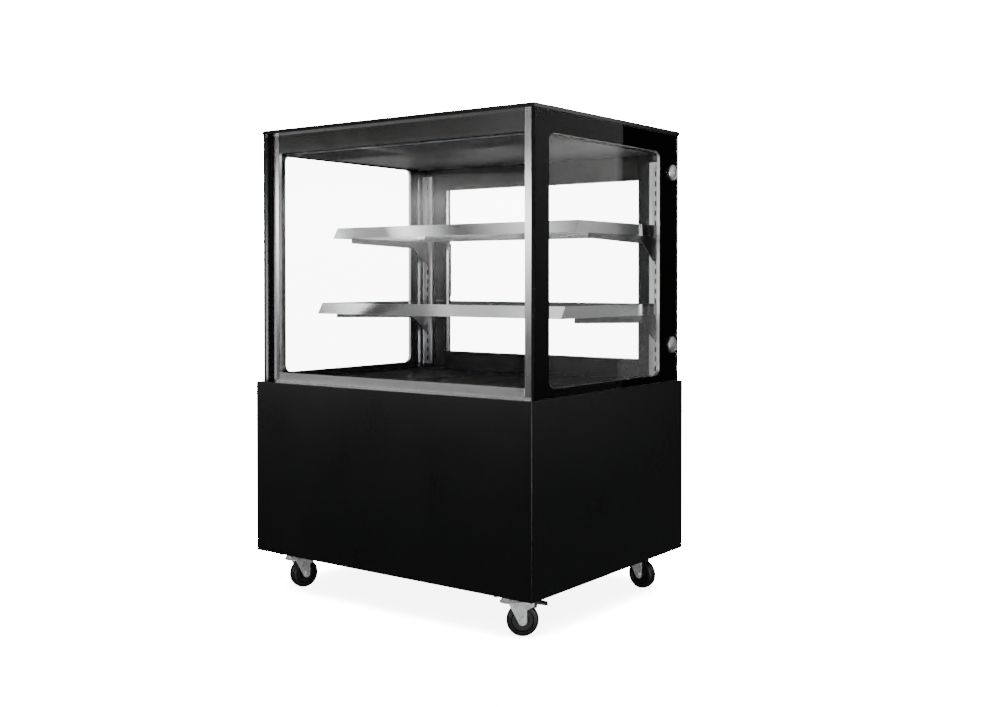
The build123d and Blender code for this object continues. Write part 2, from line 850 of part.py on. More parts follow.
def shelf_frame(front, top):
    """Price-strip rail in front, upright rims at the sides and back, ledge all round."""
    bottom = top - strip_height
    toe = front - strip_slant
    rail = [(front, top), (toe, bottom), (toe + strip_lip, bottom), (toe + strip_lip, bottom + shelf_sheet),
            (toe + 2 * shelf_sheet, bottom + shelf_sheet), (front + shelf_sheet, top)]
    frame = prism_x(rail, -shelf_half_width, shelf_half_width)
    rim = [(front, top), (toe, bottom), (shelf_rear, bottom), (shelf_rear, top)]
    inner = shelf_half_width - shelf_sheet
    side = prism_x(rim, inner, shelf_half_width)
    ledge = ledge_level(top)
    x0 = shelf_half_width - ledge_width
    for z in (bottom, ledge - shelf_sheet):
        side += block(x0, shelf_half_width, front, shelf_rear, z, z + shelf_sheet)
    for part in both_sides(side):
        frame += part
    frame += wide_block(shelf_half_width, front - 2, front + ledge_width, ledge - shelf_sheet, ledge)
    frame += wide_block(shelf_half_width, shelf_rear - shelf_sheet, shelf_rear, bottom, top)
    return frame + wide_block(shelf_half_width, shelf_rear - ledge_width, shelf_rear, ledge - shelf_sheet,
                              ledge)


def ledge_level(top):
    return top - shelf_pane - 0.4


def shelf_glass(front, top):
    x1 = shelf_half_width - shelf_sheet - seat
    ledge = ledge_level(top)
    return wide_block(x1, front + shelf_sheet + seat, shelf_rear - shelf_sheet - seat, ledge,
                      ledge + shelf_pane)


# Well, deck and cooling of the display space

def insulated_well():
    well = wide_block(well_x, trim_face, well_rear, well_bottom, base_top)
    well -= wide_block(well_cavity_x, well_cavity_front, well_cavity_rear, well_inner_floor, base_top + 1)
    well -= wide_block(well_x + 1, side_glass_rear, well_rear + 1, base_top - panel_sheet - seam,
                       base_top + 1)
    well -= rod_z(drain_radius, tray_x, 0, well_bottom - 1, well_inner_floor + 1)
    for x, y in line_places():
        well -= rod_z(line_hole_radius, x, y, well_bottom - 1, well_inner_floor + 1)
    return well


def line_places():
    liquid = (well_cavity_x - liquid_line_inset, evaporator_y + 20)
    suction = (well_cavity_x - suction_line_inset, evaporator_y - 20)
    return liquid, suction


def deck_plate():
    x1 = glass_inner_x - 2 * seat - flat_thickness
    y0 = trim_rear + seam
    y1 = rear_frame_front - seam
    deck = wide_block(x1, y0, y1, base_top, base_top + deck_sheet)
    stiffener = wide_block(well_cavity_x - 4, -deck_sheet / 2, deck_sheet / 2, base_top - 14, base_top)
    for y in (y0 + 60, y1 - 60):
        deck += Pos(0, y, 0) * stiffener
    slot = block(-deck_slot_length / 2, deck_slot_length / 2, -deck_slot_width / 2, deck_slot_width / 2,
                 base_top - 1, base_top + deck_sheet + 1)
    first = -(deck_slot_count - 1) / 2 * deck_slot_pitch
    for index in range(deck_slot_count):
        for y in (well_cavity_front + deck_slot_edge, well_cavity_rear - deck_slot_edge):
            deck -= Pos(first + index * deck_slot_pitch, y, 0) * slot
    return deck


def evaporator_coil():
    half = evaporator_length / 2
    y0 = evaporator_y - evaporator_depth / 2
    y1 = y0 + evaporator_depth
    z1 = well_inner_floor + evaporator_height
    pack = finned_pack(-half, half, y0, y1, well_inner_floor + 6, z1, fin_count)
    for side in (-1, 1):
        x = side * half
        pack += block(min(x, x + side * 2), max(x, x + side * 2), y0 - 3, y1 + 3, well_inner_floor, z1 + 3)
    for bend in return_bends(-half - 1.5, -1, evaporator_y, gas_radius, 22, well_inner_floor + 26, 2):
        pack += bend
    return pack


def evaporator_bulkhead():
    """Upright plate across the well with the fan's ring, motor and motor arms."""
    z1 = base_top - seat
    centre_z = evaporator_fan_centre()
    plate = wide_block(well_cavity_x - seat, bulkhead_y, bulkhead_y + bulkhead_sheet, well_inner_floor, z1)
    plate -= wide_block(well_cavity_x - 2, bulkhead_y - 30, bulkhead_y - 1, well_inner_floor, z1)
    opening = evaporator_fan_radius + fan_tip_gap
    plate += rod_y(opening + 2, 0, bulkhead_y, bulkhead_y + 24, centre_z)
    plate -= rod_y(opening, 0, bulkhead_y - 1, bulkhead_y + 25, centre_z)
    motor_rear = evaporator_motor_face()
    plate += rod_y(evaporator_motor_radius, 0, motor_rear - evaporator_motor_length, motor_rear, centre_z)
    arm = block(-4, 4, bulkhead_y - 4, bulkhead_y, 18, opening + 8)
    for turn in (60, 180, 300):
        plate += Pos(0, 0, centre_z) * Rot(0, turn, 0) * arm
    return plate


def evaporator_fan_centre():
    return well_inner_floor + evaporator_fan_z


def evaporator_motor_face():
    return bulkhead_y - 2


def evaporator_fan():
    rotor = Rot(-90, 0, 0) * fan_rotor(evaporator_fan_radius, 20, 14, 5, 34, 32)
    shaft = rod_y(3, 0, seat - evaporator_fan_reach, 4, 0)
    place = Pos(0, evaporator_motor_face() + evaporator_fan_reach, evaporator_fan_centre())
    return place * (rotor + shaft)


# Machine compartment

def condenser_span():
    return condenser_x - condenser_width / 2, condenser_x + condenser_width / 2


def condenser_coil():
    x0, x1 = condenser_span()
    y0 = condenser_y - condenser_depth / 2
    y1 = condenser_y + condenser_depth / 2
    z1 = rail_top + condenser_height
    pack = finned_pack(x0 + 2, x1 - 2, y0, y1 - 4, rail_top + 8, z1 - 3, fin_count)
    for x in (x0, x1 - 2):
        pack += block(x, x + 2, y0, y1, rail_top, z1)
    pack += block(x0, x1, y0, y0 + 12, rail_top, rail_top + 2)
    pack += block(x0, x1, y0, y1 - 4, rail_top + 6, rail_top + 8)
    for bend in return_bends(x0 + 0.5, -1, condenser_y - 4, gas_radius, 24, rail_top + 34, 3):
        pack += bend
    return pack


def condenser_fan_centre():
    return rail_top + condenser_height / 2


def condenser_shroud():
    """Shallow hood between coil and fan, with the fan's ring, motor and motor arms."""
    x0, x1 = condenser_span()
    rear = shroud_front + shroud_depth
    front = shroud_front
    z1 = rail_top + condenser_height
    centre_z = condenser_fan_centre()
    opening = condenser_fan_radius + fan_tip_gap
    hood = block(x0, x1, front, rear, rail_top, z1)
    hood -= block(x0 + shroud_sheet, x1 - shroud_sheet, front + shroud_sheet, rear + 1,
                  rail_top + shroud_sheet, z1 - shroud_sheet)
    hood += rod_y(opening + shroud_sheet, condenser_x, front - 14, front + shroud_sheet, centre_z)
    hood -= rod_y(opening, condenser_x, front - 15, rear, centre_z)
    motor_rear = front - condenser_fan_reach
    hood += rod_y(motor_radius, condenser_x, motor_rear - motor_length, motor_rear, centre_z)
    arm = block(-6, 6, motor_rear - 3, motor_rear, motor_radius - 3, opening + 6)
    foot = block(-6, 6, motor_rear - 3, front + shroud_sheet, opening + shroud_sheet - 0.5, opening + 6)
    for turn in (45, 135, 225, 315):
        hood += Pos(condenser_x, 0, centre_z) * Rot(0, turn, 0) * (arm + foot)
    return hood


def condenser_fan():
    rotor = Rot(-90, 0, 0) * fan_rotor(condenser_fan_radius, 30, 18, 5, 58, 30)
    shaft = rod_y(4, 0, seat - condenser_fan_reach, 4, 0)
    return Pos(condenser_x, shroud_front, condenser_fan_centre()) * (rotor + shaft)


def compressor_feet():
    return [(side * (compressor_length / 2 - 8), end * (compressor_width / 2 - 8))
            for side in (-1, 1) for end in (-1, 1)]


def compressor():
    base_z = floor_top + grommet_height
    body = extrude(SlotOverall(compressor_length - 24, compressor_width - 16), amount=compressor_body)
    body = fillet(body.edges().group_by(Axis.Z)[-1], 34)
    body = fillet(body.edges().group_by(Axis.Z)[0], 18)
    seam_band = extrude(SlotOverall(compressor_length - 14, compressor_width - 6), amount=4)
    body += Pos(0, 0, compressor_body * 0.55) * seam_band
    foot = Box(compressor_length, 32, 3)
    for side in (-1, 1):
        body += Pos(0, side * (compressor_width / 2 - 16), 1.5) * foot
    body += Pos(-compressor_length / 2 + 12, 0, compressor_body * 0.42) * Box(34, 52, 46)
    for x, y in compressor_feet():
        body -= rod_z(grommet_radius * 0.55, x, y, -1, 4)
    body = Pos(compressor_x, compressor_y, base_z) * body
    end_x, suction_y, suction_z = suction_port()
    body += rod_x(gas_radius + 1.2, compressor_x + compressor_length / 4, end_x, suction_y, suction_z)
    discharge_x, end_y, discharge_z = discharge_port()
    return body + rod_y(liquid_radius + 1.2, discharge_x, compressor_y + compressor_width / 4, end_y,
                        discharge_z)


def suction_port():
    liquid_place, suction_place = line_places()
    return compressor_x + compressor_length / 2, suction_place[1], compressor_top() - 72


def discharge_port():
    return compressor_x, compressor_y + compressor_width / 2, compressor_top() - 54


def compressor_grommets():
    grommets = []
    for x, y in compressor_feet():
        lower = Cylinder(grommet_radius, grommet_height)
        neck = Pos(0, 0, grommet_height / 2 + 1.5) * Cylinder(grommet_radius * 0.5, 3)
        cap = Pos(0, 0, grommet_height / 2 + 5.2) * Cylinder(grommet_radius * 0.7, 4.4)
        grommet = lower + neck + cap
        place = Pos(compressor_x + x, compressor_y + y, floor_top + grommet_height / 2)
        grommets.append(place * grommet)
    return grommets


def condensate_tray():
    x0 = tray_x - tray_length / 2
    y0 = -tray_width / 2
    tray = block(x0, x0 + tray_length, y0, y0 + tray_width, floor_top, floor_top + tray_height)
    tray -= block(x0 + tray_wall, x0 + tray_length - tray_wall, y0 + tray_wall, y0 + tray_width - tray_wall,
                  floor_top + tray_wall, floor_top + tray_height + 1)
    rim = block(x0 - 4, x0 + tray_length + 4, y0 - 4, y0 + tray_width + 4, floor_top + tray_height - 2,
                floor_top + tray_height)
    rim -= block(x0 + 1, x0 + tray_length - 1, y0 + 1, y0 + tray_width - 1, floor_top,
                 floor_top + tray_height + 1)
    pipe_outer = rod_z(drain_radius - seat, tray_x, 0, floor_top + tray_height - 18, well_inner_floor)
    pipe_inner = rod_z(drain_radius - 2.3, tray_x, 0, floor_top, well_inner_floor + 1)
    return [tray + rim, pipe_outer - pipe_inner]


def refrigerant_lines():
    x0, x1 = condenser_span()
    coil_y = condenser_y - 4
    liquid_place, suction_place = line_places()
    low = rail_top + 14
    back = shroud_front + seat - 12
    drier_x = x1 + 60
    out = pipe(liquid_radius, 12, (x1 + seat, coil_y, low), (x1 + 34, coil_y, low), (x1 + 34, back, low),
               (drier_x + 4, back, low))
    drier = rod_x(drier_radius, drier_x, drier_x + drier_length, back, low)
    drier = chamfer(drier.edges().filter_by(GeomType.CIRCLE), 5)
    riser_x, riser_y = liquid_place
    up = pipe(liquid_radius, 12, (drier_x + drier_length - 4, back, low), (riser_x, back, low),
              (riser_x, riser_y, low), (riser_x, riser_y, well_inner_floor + 40),
              (evaporator_length / 2 + 2 + seat, riser_y, well_inner_floor + 40))
    down_x = suction_place[0]
    run_z = ring_bottom - 12
    end_x, port_y, port_z = suction_port()
    suction = pipe(gas_radius, 18, (evaporator_length / 2 + 2 + seat, port_y, well_inner_floor + 90),
                   (down_x, port_y, well_inner_floor + 90), (down_x, port_y, run_z),
                   (end_x + 50, port_y, run_z), (end_x + 50, port_y, port_z), (end_x + seat, port_y, port_z))
    out_x, out_y, out_z = discharge_port()
    discharge = pipe(liquid_radius, 12, (out_x, out_y + seat, out_z), (out_x, out_y + 22, out_z),
                     (x1 + 24, out_y + 22, out_z), (x1 + 24, coil_y, out_z),
                     (x1 + 24, coil_y, rail_top + condenser_height - 24),
                     (x1 + seat, coil_y, rail_top + condenser_height - 24))
    return [out + drier + up, suction, discharge]


def compressor_top():
    return floor_top + grommet_height + compressor_body


# Controls on the rear panel

def switch_places():
    return control_x - switch_pitch / 2, control_x + switch_pitch / 2


def key_places():
    return [(control_x + 22, controller_z + side * key_pitch / 2) for side in (-1, 1)]


def temperature_controller():
    half = controller_width / 2
    rise = controller_height / 2
    front = rear_panel_face + bezel
    body = block(control_x - half + 3.3, control_x + half - 3.3, rear_panel_face - controller_depth,
                 rear_panel_face + 0.5, controller_z - rise + 3.3, controller_z + rise - 3.3)
    plate = block(control_x - half, control_x + half, rear_panel_face, front, controller_z - rise,
                  controller_z + rise)
    plate = fillet(plate.edges().filter_by(Axis.Y), 3)
    body += plate
    body -= block(control_x - half + 8, control_x + 8, front - 0.6, front + 1, controller_z - 9,
                  controller_z + 9)
    for x, z in key_places():
        body -= rod_y(key_radius + key_gap, x, front - 7, front + 1, z)
    return body


def controller_key(index):
    x, z = key_places()[index]
    front = rear_panel_face + bezel
    key = rod_y(key_radius, x, front - 6, front + 0.35, z)
    return key


def switch_housing(x):
    half = rocker_width / 2 + 2.6
    rise = rocker_half + 3
    front = rear_panel_face + bezel
    body = block(x - half + 1.2, x + half - 1.2, rear_panel_face - 20, rear_panel_face + 0.5,
                 switch_z - rise + 1.3, switch_z + rise - 1.3)
    frame = block(x - half, x + half, rear_panel_face, front, switch_z - rise, switch_z + rise)
    frame = fillet(frame.edges().filter_by(Axis.Y), 1.5)
    body += frame
    return body - block(x - rocker_width / 2 - 0.4, x + rocker_width / 2 + 0.4, rear_panel_face - 9,
                        front + 1, switch_z - rocker_half - 0.6, switch_z + rocker_half + 0.6)


def switch_housings():
    return [switch_housing(x) for x in switch_places()]


def rocker(x):
    """Rocker lying in its off position, its pivot just inside the panel's face."""
    pivot_y = rear_panel_face - 0.6
    points = [(-5, -5), (-5, 5), (-1, 9), (1.2, rocker_half), (0.2, 0), (1.2, -rocker_half), (-1, -9)]
    body = prism_x(points, -rocker_width / 2, rocker_width / 2)
    pins = rod_x(1.2, -rocker_width / 2 - 0.3, rocker_width / 2 + 0.3, 0, 0)
    return Pos(x, pivot_y, switch_z) * Rot(rocker_tilt, 0, 0) * (body + pins)


def power_inlet():
    """Cable gland bush without a cord."""
    bush = rod_y(inlet_radius, control_x, rear_panel_inner - 12, rear_panel_face + 1.9, inlet_z)
    bush += rod_y(inlet_radius + 4, control_x, rear_panel_face, rear_panel_face + 1.2, inlet_z)
    bush += rod_y(inlet_radius + 4, control_x, rear_panel_inner - 5, rear_panel_inner, inlet_z)
    return bush - rod_y(inlet_bore, control_x, rear_panel_inner - 13, rear_face + 1, inlet_z)


# Casters, built about the swivel axis with the trail along X and the axle along Y

def caster_place(x, y, turn):
    return Pos(x, y, 0) * Rot(0, 0, turn)


def caster_plate(x, y):
    plate = Pos(0, 0, caster_height - plate_sheet / 2) * Box(plate_size, plate_size, plate_sheet)
    plate = fillet(plate.edges().filter_by(Axis.Z), 6)
    for side in (-1, 1):
        for end in (-1, 1):
            hole = plate_size / 2 - 10
            plate -= rod_z(3.4, side * hole, end * hole, 0, caster_height + 1)
    race = rod_z(race_radius, 0, 0, cone_top + race_gap, caster_plate_bottom)
    race = chamfer(race.edges().filter_by(GeomType.CIRCLE).sort_by(Axis.Z)[0], 2)
    pin = rod_z(kingpin_radius, 0, 0, crown_underside - 2, cone_top + race_gap)
    head = rod_z(kingpin_radius + 3, 0, 0, crown_underside - 4.5, crown_underside - race_gap)
    return Pos(x, y, 0) * (plate + race + pin + head)


def fork():
    tip_x = trail + leg_tip_radius
    half = fork_inner / 2 + fork_sheet
    crown = rod_z(crown_radius, 0, 0, crown_underside, crown_top)
    crown += block(0, tip_x, -half, half, crown_underside, crown_top)
    rise = cone_top - crown_top
    cone = Pos(0, 0, (crown_top + cone_top) / 2) * Cone(crown_radius - 1, crown_radius - 6, rise)
    body = crown + cone
    for side in (-1, 1):
        inner = side * fork_inner / 2
        outer = side * half
        body += fork_leg(min(inner, outer), max(inner, outer))
    body -= rod_z(kingpin_radius + axle_gap, 0, 0, crown_underside - 1, cone_top + 1)
    return body + axle(half)


def fork_leg(v0, v1):
    outline = [(-leg_lead, crown_top), (trail - leg_tip_radius * 0.95, wheel_radius - 3),
               (trail + leg_tip_radius, wheel_radius), (trail + leg_tip_radius, crown_top)]
    leg = prism_y(outline, v0, v1)
    return leg + rod_y(leg_tip_radius, trail, v0, v1, wheel_radius)


def axle(half):
    bolt = rod_y(axle_radius, trail, -half - 1, half + 1, wheel_radius)
    head = extrude(RegularPolygon(6.5, 6), amount=4)
    for side in (-1, 1):
        bolt += Pos(trail, side * (half + 2), wheel_radius) * Rot(90, 0, 0) * Pos(0, 0, -2) * head
    return bolt


def braked_fork():
    """Fork with ears behind the crown that hold the pedal's pin."""
    half = fork_inner / 2 + fork_sheet
    body = fork()
    for side in (-1, 1):
        inner = side * fork_inner / 2
        outer = side * half
        ear = [(trail + leg_tip_radius - 1, crown_top), (trail + leg_tip_radius - 1, pedal_pin_z - 14),
               (pedal_pin_u + 5, pedal_pin_z - 4), (pedal_pin_u + 5, crown_top)]
        body += prism_y(ear, min(inner, outer), max(inner, outer))
    return body + rod_y(2.5, pedal_pin_u, -half - 1.5, half + 1.5, pedal_pin_z)


def brake_pedal():
    half = pedal_width / 2
    points = [(-5, 6.5), (6, 6.5), (pedal_reach, 0), (pedal_reach, -4), (12, -1), (11, -8), (6, -10),
              (-3, -5)]
    outline = [(pedal_pin_u + u, pedal_pin_z + z) for u, z in points]
    pedal = prism_y(outline, -half, half)
    return pedal - rod_y(2.5 + axle_gap, pedal_pin_u, -half - 1, half + 1, pedal_pin_z)


def wheel():
    """Tyre with a rounded tread, dished web and a hub bored for the axle."""
    outline = [(axle_radius + axle_gap, hub_width / 2), (hub_radius, hub_width / 2), (hub_radius + 2, 7),
               (24, 7), (27, wheel_width / 2), (wheel_radius - 4, wheel_width / 2),
               (wheel_radius - 1.2, wheel_width / 2 - 2.5), (wheel_radius, 4)]
    mirrored = [(r, -w) for r, w in reversed(outline)]
    profile = make_face(Polyline(*outline, *mirrored, close=True))
    tyre = revolve(profile, Axis.Y)
    return Pos(trail, 0, wheel_radius) * tyre


def caster_layout():
    return {"front_left": (-caster_x, front_caster_y, front_left_turn),
            "front_right": (caster_x, front_caster_y, front_right_turn),
            "rear_left": (-caster_x, rear_caster_y, rear_left_turn),
            "rear_right": (caster_x, rear_caster_y, rear_right_turn)}


# Writing the pieces

def save(name, shapes):
    solids = shapes if isinstance(shapes, list) else [shapes]
    group = Compound([solid for shape in solids for solid in shape.solids()])
    export_step(group, f"parts/{name}.step")


def save_base():
    save("base_frame", base_frame())
    save("base_front_panel", base_front_panel())
    save("base_right_panel", base_side_panel())
    save("base_left_panel", flip(base_side_panel()))
    save("floor_pan", floor_pan())
    save("rear_panel", rear_panel())
    save("louvre_panel", louvre_panel())


def save_upper_case():
    save("right_outer_pane", side_outer_pane())
    save("left_outer_pane", flip(side_outer_pane()))
    save("front_outer_pane", front_outer_pane())
    save("inner_panes", inner_panes())
    save("pane_borders", pane_borders())
    save("glass_caps", glass_caps())
    save("front_trim", front_trim())
    save("front_fascia", front_fascia())
    save("top_plate", top_plate())
    save("ceiling_panel", ceiling_panel())
    save("led_lamps", led_lamps())
    save("rear_frame", rear_frame())
    save("door_tracks", door_tracks())


def save_doors():
    save("left_door_frame", door_frame(inner_door_y))
    save("left_door_glass", door_glass(inner_door_y))
    save("right_door_frame", flip(door_frame(outer_door_y)))
    save("right_door_glass", flip(door_glass(outer_door_y)))


def save_shelves():
    save("shelf_standards", shelf_standards())
    save("shelf_brackets", shelf_brackets())
    shelves = {"upper": (upper_shelf_front, upper_slot), "lower": (lower_shelf_front, lower_slot)}
    for name, (front, slot) in shelves.items():
        save(f"{name}_shelf_frame", shelf_frame(front, shelf_top(slot)))
        save(f"{name}_shelf_glass", shelf_glass(front, shelf_top(slot)))


def save_cooling():
    save("insulated_well", insulated_well())
    save("deck_plate", deck_plate())
    save("evaporator_coil", evaporator_coil())
    save("evaporator_bulkhead", evaporator_bulkhead())
    save("evaporator_fan", evaporator_fan())
    save("condenser_coil", condenser_coil())
    save("condenser_shroud", condenser_shroud())
    save("condenser_fan", condenser_fan())
    save("compressor", compressor())
    save("compressor_grommets", compressor_grommets())
    save("condensate_tray", condensate_tray())
    save("refrigerant_lines", refrigerant_lines())


def save_controls():
    save("temperature_controller", temperature_controller())
    save("down_key", controller_key(0))
    save("up_key", controller_key(1))
    save("switch_housings", switch_housings())
    light_x, power_x = switch_places()
    save("light_switch", rocker(light_x))
    save("power_switch", rocker(power_x))
    save("power_inlet", power_inlet())


def save_casters():
    save("caster_plates", [caster_plate(x, y) for x, y, turn in caster_layout().values()])
    for name, (x, y, turn) in caster_layout().items():
        place = caster_place(x, y, turn)
        braked = name.startswith("front")
        save(f"fork_{name}", place * (braked_fork() if braked else fork()))
        save(f"wheel_{name}", place * wheel())
        if braked:
            save(f"brake_{name}", place * brake_pedal())


os.makedirs("parts", exist_ok=True)
save_base()
save_upper_case()
save_doors()
save_shelves()
save_cooling()
save_controls()
save_casters()
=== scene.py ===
import json
import math
import bmesh
import bpy
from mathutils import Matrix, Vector


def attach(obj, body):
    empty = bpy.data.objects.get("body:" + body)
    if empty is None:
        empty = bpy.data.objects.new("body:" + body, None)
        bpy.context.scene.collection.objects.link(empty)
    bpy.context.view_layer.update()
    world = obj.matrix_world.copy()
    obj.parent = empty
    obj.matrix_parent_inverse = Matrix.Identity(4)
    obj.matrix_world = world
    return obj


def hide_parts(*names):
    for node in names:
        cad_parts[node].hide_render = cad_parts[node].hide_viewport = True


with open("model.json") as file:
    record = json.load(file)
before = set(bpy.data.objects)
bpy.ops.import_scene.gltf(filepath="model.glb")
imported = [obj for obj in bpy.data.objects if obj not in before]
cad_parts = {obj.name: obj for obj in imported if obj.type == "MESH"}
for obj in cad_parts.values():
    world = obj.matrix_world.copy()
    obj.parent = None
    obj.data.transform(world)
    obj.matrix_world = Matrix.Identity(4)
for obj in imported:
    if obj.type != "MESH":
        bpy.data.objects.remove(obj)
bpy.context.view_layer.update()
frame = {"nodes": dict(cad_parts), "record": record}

nodes = frame["nodes"]
riders = {}
for bodyName, members in frame["record"]["behaviour"]["bodies"].items():
    for member in members:
        riders[member] = bodyName


# camera: stands at the front right corner, about as high as the shelves
cameraView = {
    "place": (1.97494, -2.49701, 0.8175),
    "turn": 36.23,
    "tilt": -0.95,
    "lens": 42.845,
    "shift": (-0.01431, -0.05371),
    "sensor": 36,
    "clip": (0.05, 80),
}


def makeCamera():
    data = bpy.data.cameras.new("photoCamera")
    data.sensor_width = cameraView["sensor"]
    data.lens = cameraView["lens"]
    data.shift_x, data.shift_y = cameraView["shift"]
    data.clip_start, data.clip_end = cameraView["clip"]
    camera = bpy.data.objects.new("photoCamera", data)
    camera.location = cameraView["place"]
    camera.rotation_euler = (math.radians(90 + cameraView["tilt"]), 0, math.radians(cameraView["turn"]))
    bpy.context.collection.objects.link(camera)
    bpy.context.scene.camera = camera


makeCamera()
print("camera placed")


# node groups shared by several materials
def addSocket(group, name, kind, isInput, value=None):
    socket = group.interface.new_socket(name, in_out="INPUT" if isInput else "OUTPUT",
                                        socket_type="NodeSocket" + kind)
    if value is not None:
        socket.default_value = value
    return socket


def addNode(tree, kind, **settings):
    node = tree.nodes.new(kind)
    for key, value in settings.items():
        setattr(node, key, value)
    return node


def shaderGroup(name, inputs, outputs):
    group = bpy.data.node_groups.new(name, "ShaderNodeTree")
    for label, kind, value in inputs:
        addSocket(group, label, kind, True, value)
    for label, kind in outputs:
        addSocket(group, label, kind, False)
    return group, addNode(group, "NodeGroupInput"), addNode(group, "NodeGroupOutput")


def mapRange(tree, source, low, high, fromLow=0.0, fromHigh=1.0):
    node = addNode(tree, "ShaderNodeMapRange")
    node.inputs["From Min"].default_value = fromLow
    node.inputs["From Max"].default_value = fromHigh
    for socket, value in ((node.inputs["To Min"], low), (node.inputs["To Max"], high)):
        if isinstance(value, (int, float)):
            socket.default_value = value
        else:
            tree.links.new(value, socket)
    tree.links.new(source, node.inputs["Value"])
    return node.outputs["Result"]


noiseSpan = (0.3, 0.7)  # most values of a noise texture lie between these


# long scratches along one axis, as a belt leaves on sheet metal
def buildBrushedGrain():
    group, ends, outs = shaderGroup(
        "brushedGrain",
        [("Stretch", "Vector", (1.0, 1.0, 1.0)), ("Fineness", "Float", 900.0),
         ("Rough Low", "Float", 0.22), ("Rough High", "Float", 0.38)],
        [("Roughness", "Float"), ("Height", "Float"), ("Tone", "Float")])
    links = group.links
    place = addNode(group, "ShaderNodeTexCoord")
    stretch = addNode(group, "ShaderNodeVectorMath", operation="MULTIPLY")
    links.new(place.outputs["Object"], stretch.inputs[0])
    links.new(ends.outputs["Stretch"], stretch.inputs[1])
    fine = addNode(group, "ShaderNodeTexNoise")
    links.new(stretch.outputs[0], fine.inputs["Vector"])
    links.new(ends.outputs["Fineness"], fine.inputs["Scale"])
    fine.inputs["Detail"].default_value = 4
    broad = addNode(group, "ShaderNodeTexNoise")
    links.new(place.outputs["Object"], broad.inputs["Vector"])
    broad.inputs["Scale"].default_value = 7
    broad.inputs["Detail"].default_value = 3
    blend = addNode(group, "ShaderNodeMix", data_type="FLOAT")
    blend.inputs[0].default_value = 0.3
    links.new(fine.outputs["Fac"], blend.inputs[2])
    links.new(broad.outputs["Fac"], blend.inputs[3])
    rough = mapRange(group, blend.outputs[0], ends.outputs["Rough Low"], ends.outputs["Rough High"],
                     *noiseSpan)
    links.new(rough, outs.inputs["Roughness"])
    links.new(fine.outputs["Fac"], outs.inputs["Height"])
    links.new(blend.outputs[0], outs.inputs["Tone"])
    return group


# slow smears and fine speckle that break up an even finish
def buildHandledFinish():
    group, ends, outs = shaderGroup(
        "handledFinish",
        [("Rough", "Float", 0.4), ("Smear", "Float", 0.1), ("Speckle Size", "Float", 1400.0)],
        [("Roughness", "Float"), ("Height", "Float"), ("Dust", "Float")])
    links = group.links
    place = addNode(group, "ShaderNodeTexCoord")
    smear = addNode(group, "ShaderNodeTexNoise")
    smear.inputs["Scale"].default_value = 5
    smear.inputs["Detail"].default_value = 5
    smear.inputs["Distortion"].default_value = 0.6
    links.new(place.outputs["Object"], smear.inputs["Vector"])
    speckle = addNode(group, "ShaderNodeTexNoise")
    links.new(place.outputs["Object"], speckle.inputs["Vector"])
    links.new(ends.outputs["Speckle Size"], speckle.inputs["Scale"])
    speckle.inputs["Detail"].default_value = 2
    low = addNode(group, "ShaderNodeMath", operation="SUBTRACT")
    links.new(ends.outputs["Rough"], low.inputs[0])
    links.new(ends.outputs["Smear"], low.inputs[1])
    high = addNode(group, "ShaderNodeMath", operation="ADD")
    links.new(ends.outputs["Rough"], high.inputs[0])
    links.new(ends.outputs["Smear"], high.inputs[1])
    rough = mapRange(group, smear.outputs["Fac"], low.outputs[0], high.outputs[0], *noiseSpan)
    links.new(rough, outs.inputs["Roughness"])
    links.new(speckle.outputs["Fac"], outs.inputs["Height"])
    dust = mapRange(group, speckle.outputs["Fac"], 0.0, 1.0, 0.62, 0.75)
    links.new(dust, outs.inputs["Dust"])
    return group


brushedGrain = buildBrushedGrain()
handledFinish = buildHandledFinish()


# materials
def startMaterial(name):
    material = bpy.data.materials.new(name)
    material.use_nodes = True
    tree = material.node_tree
    shader = tree.nodes["Principled BSDF"]
    return material, tree, shader


def placeGroup(tree, group, **values):
    node = addNode(tree, "ShaderNodeGroup", node_tree=group)
    for key, value in values.items():
        node.inputs[key.replace("_", " ")].default_value = value
    return node


def addBump(tree, shader, height, strength, distance):
    bump = addNode(tree, "ShaderNodeBump")
    bump.inputs["Strength"].default_value = strength
    bump.inputs["Distance"].default_value = distance
    tree.links.new(height, bump.inputs["Height"])
    tree.links.new(bump.outputs["Normal"], shader.inputs["Normal"])


# each finish's second tone, as a multiple of its colour
toneSteps = {"speck": 1.3, "grain": 0.86, "spangle": 0.8, "rib": 1.1}


def secondTone(color, kind, lift=0.0):
    return tuple(min(1.0, channel * toneSteps[kind] + lift) for channel in color)


def mixColor(tree, mask, dark, light):
    mix = addNode(tree, "ShaderNodeMix", data_type="RGBA")
    mix.inputs[6].default_value = (*dark, 1)
    mix.inputs[7].default_value = (*light, 1)
    tree.links.new(mask, mix.inputs[0])
    return mix.outputs[2]


# painted or moulded surfaces: one colour, smears in the gloss, fine texture, pale specks
def coatedMaterial(name, color, rough, smear=0.06, metallic=0.0, texture=0.08, grainSize=1400.0,
                   specular=0.5, textureDepth=0.0001, ior=1.5):
    material, tree, shader = startMaterial(name)
    finish = placeGroup(tree, handledFinish, Rough=rough, Smear=smear, Speckle_Size=grainSize)
    tree.links.new(finish.outputs["Roughness"], shader.inputs["Roughness"])
    tone = mixColor(tree, finish.outputs["Dust"], color, secondTone(color, "speck", 0.001))
    tree.links.new(tone, shader.inputs["Base Color"])
    shader.inputs["Metallic"].default_value = metallic
    shader.inputs["Specular IOR Level"].default_value = specular
    shader.inputs["IOR"].default_value = ior
    addBump(tree, shader, finish.outputs["Height"], texture, textureDepth)
    return material


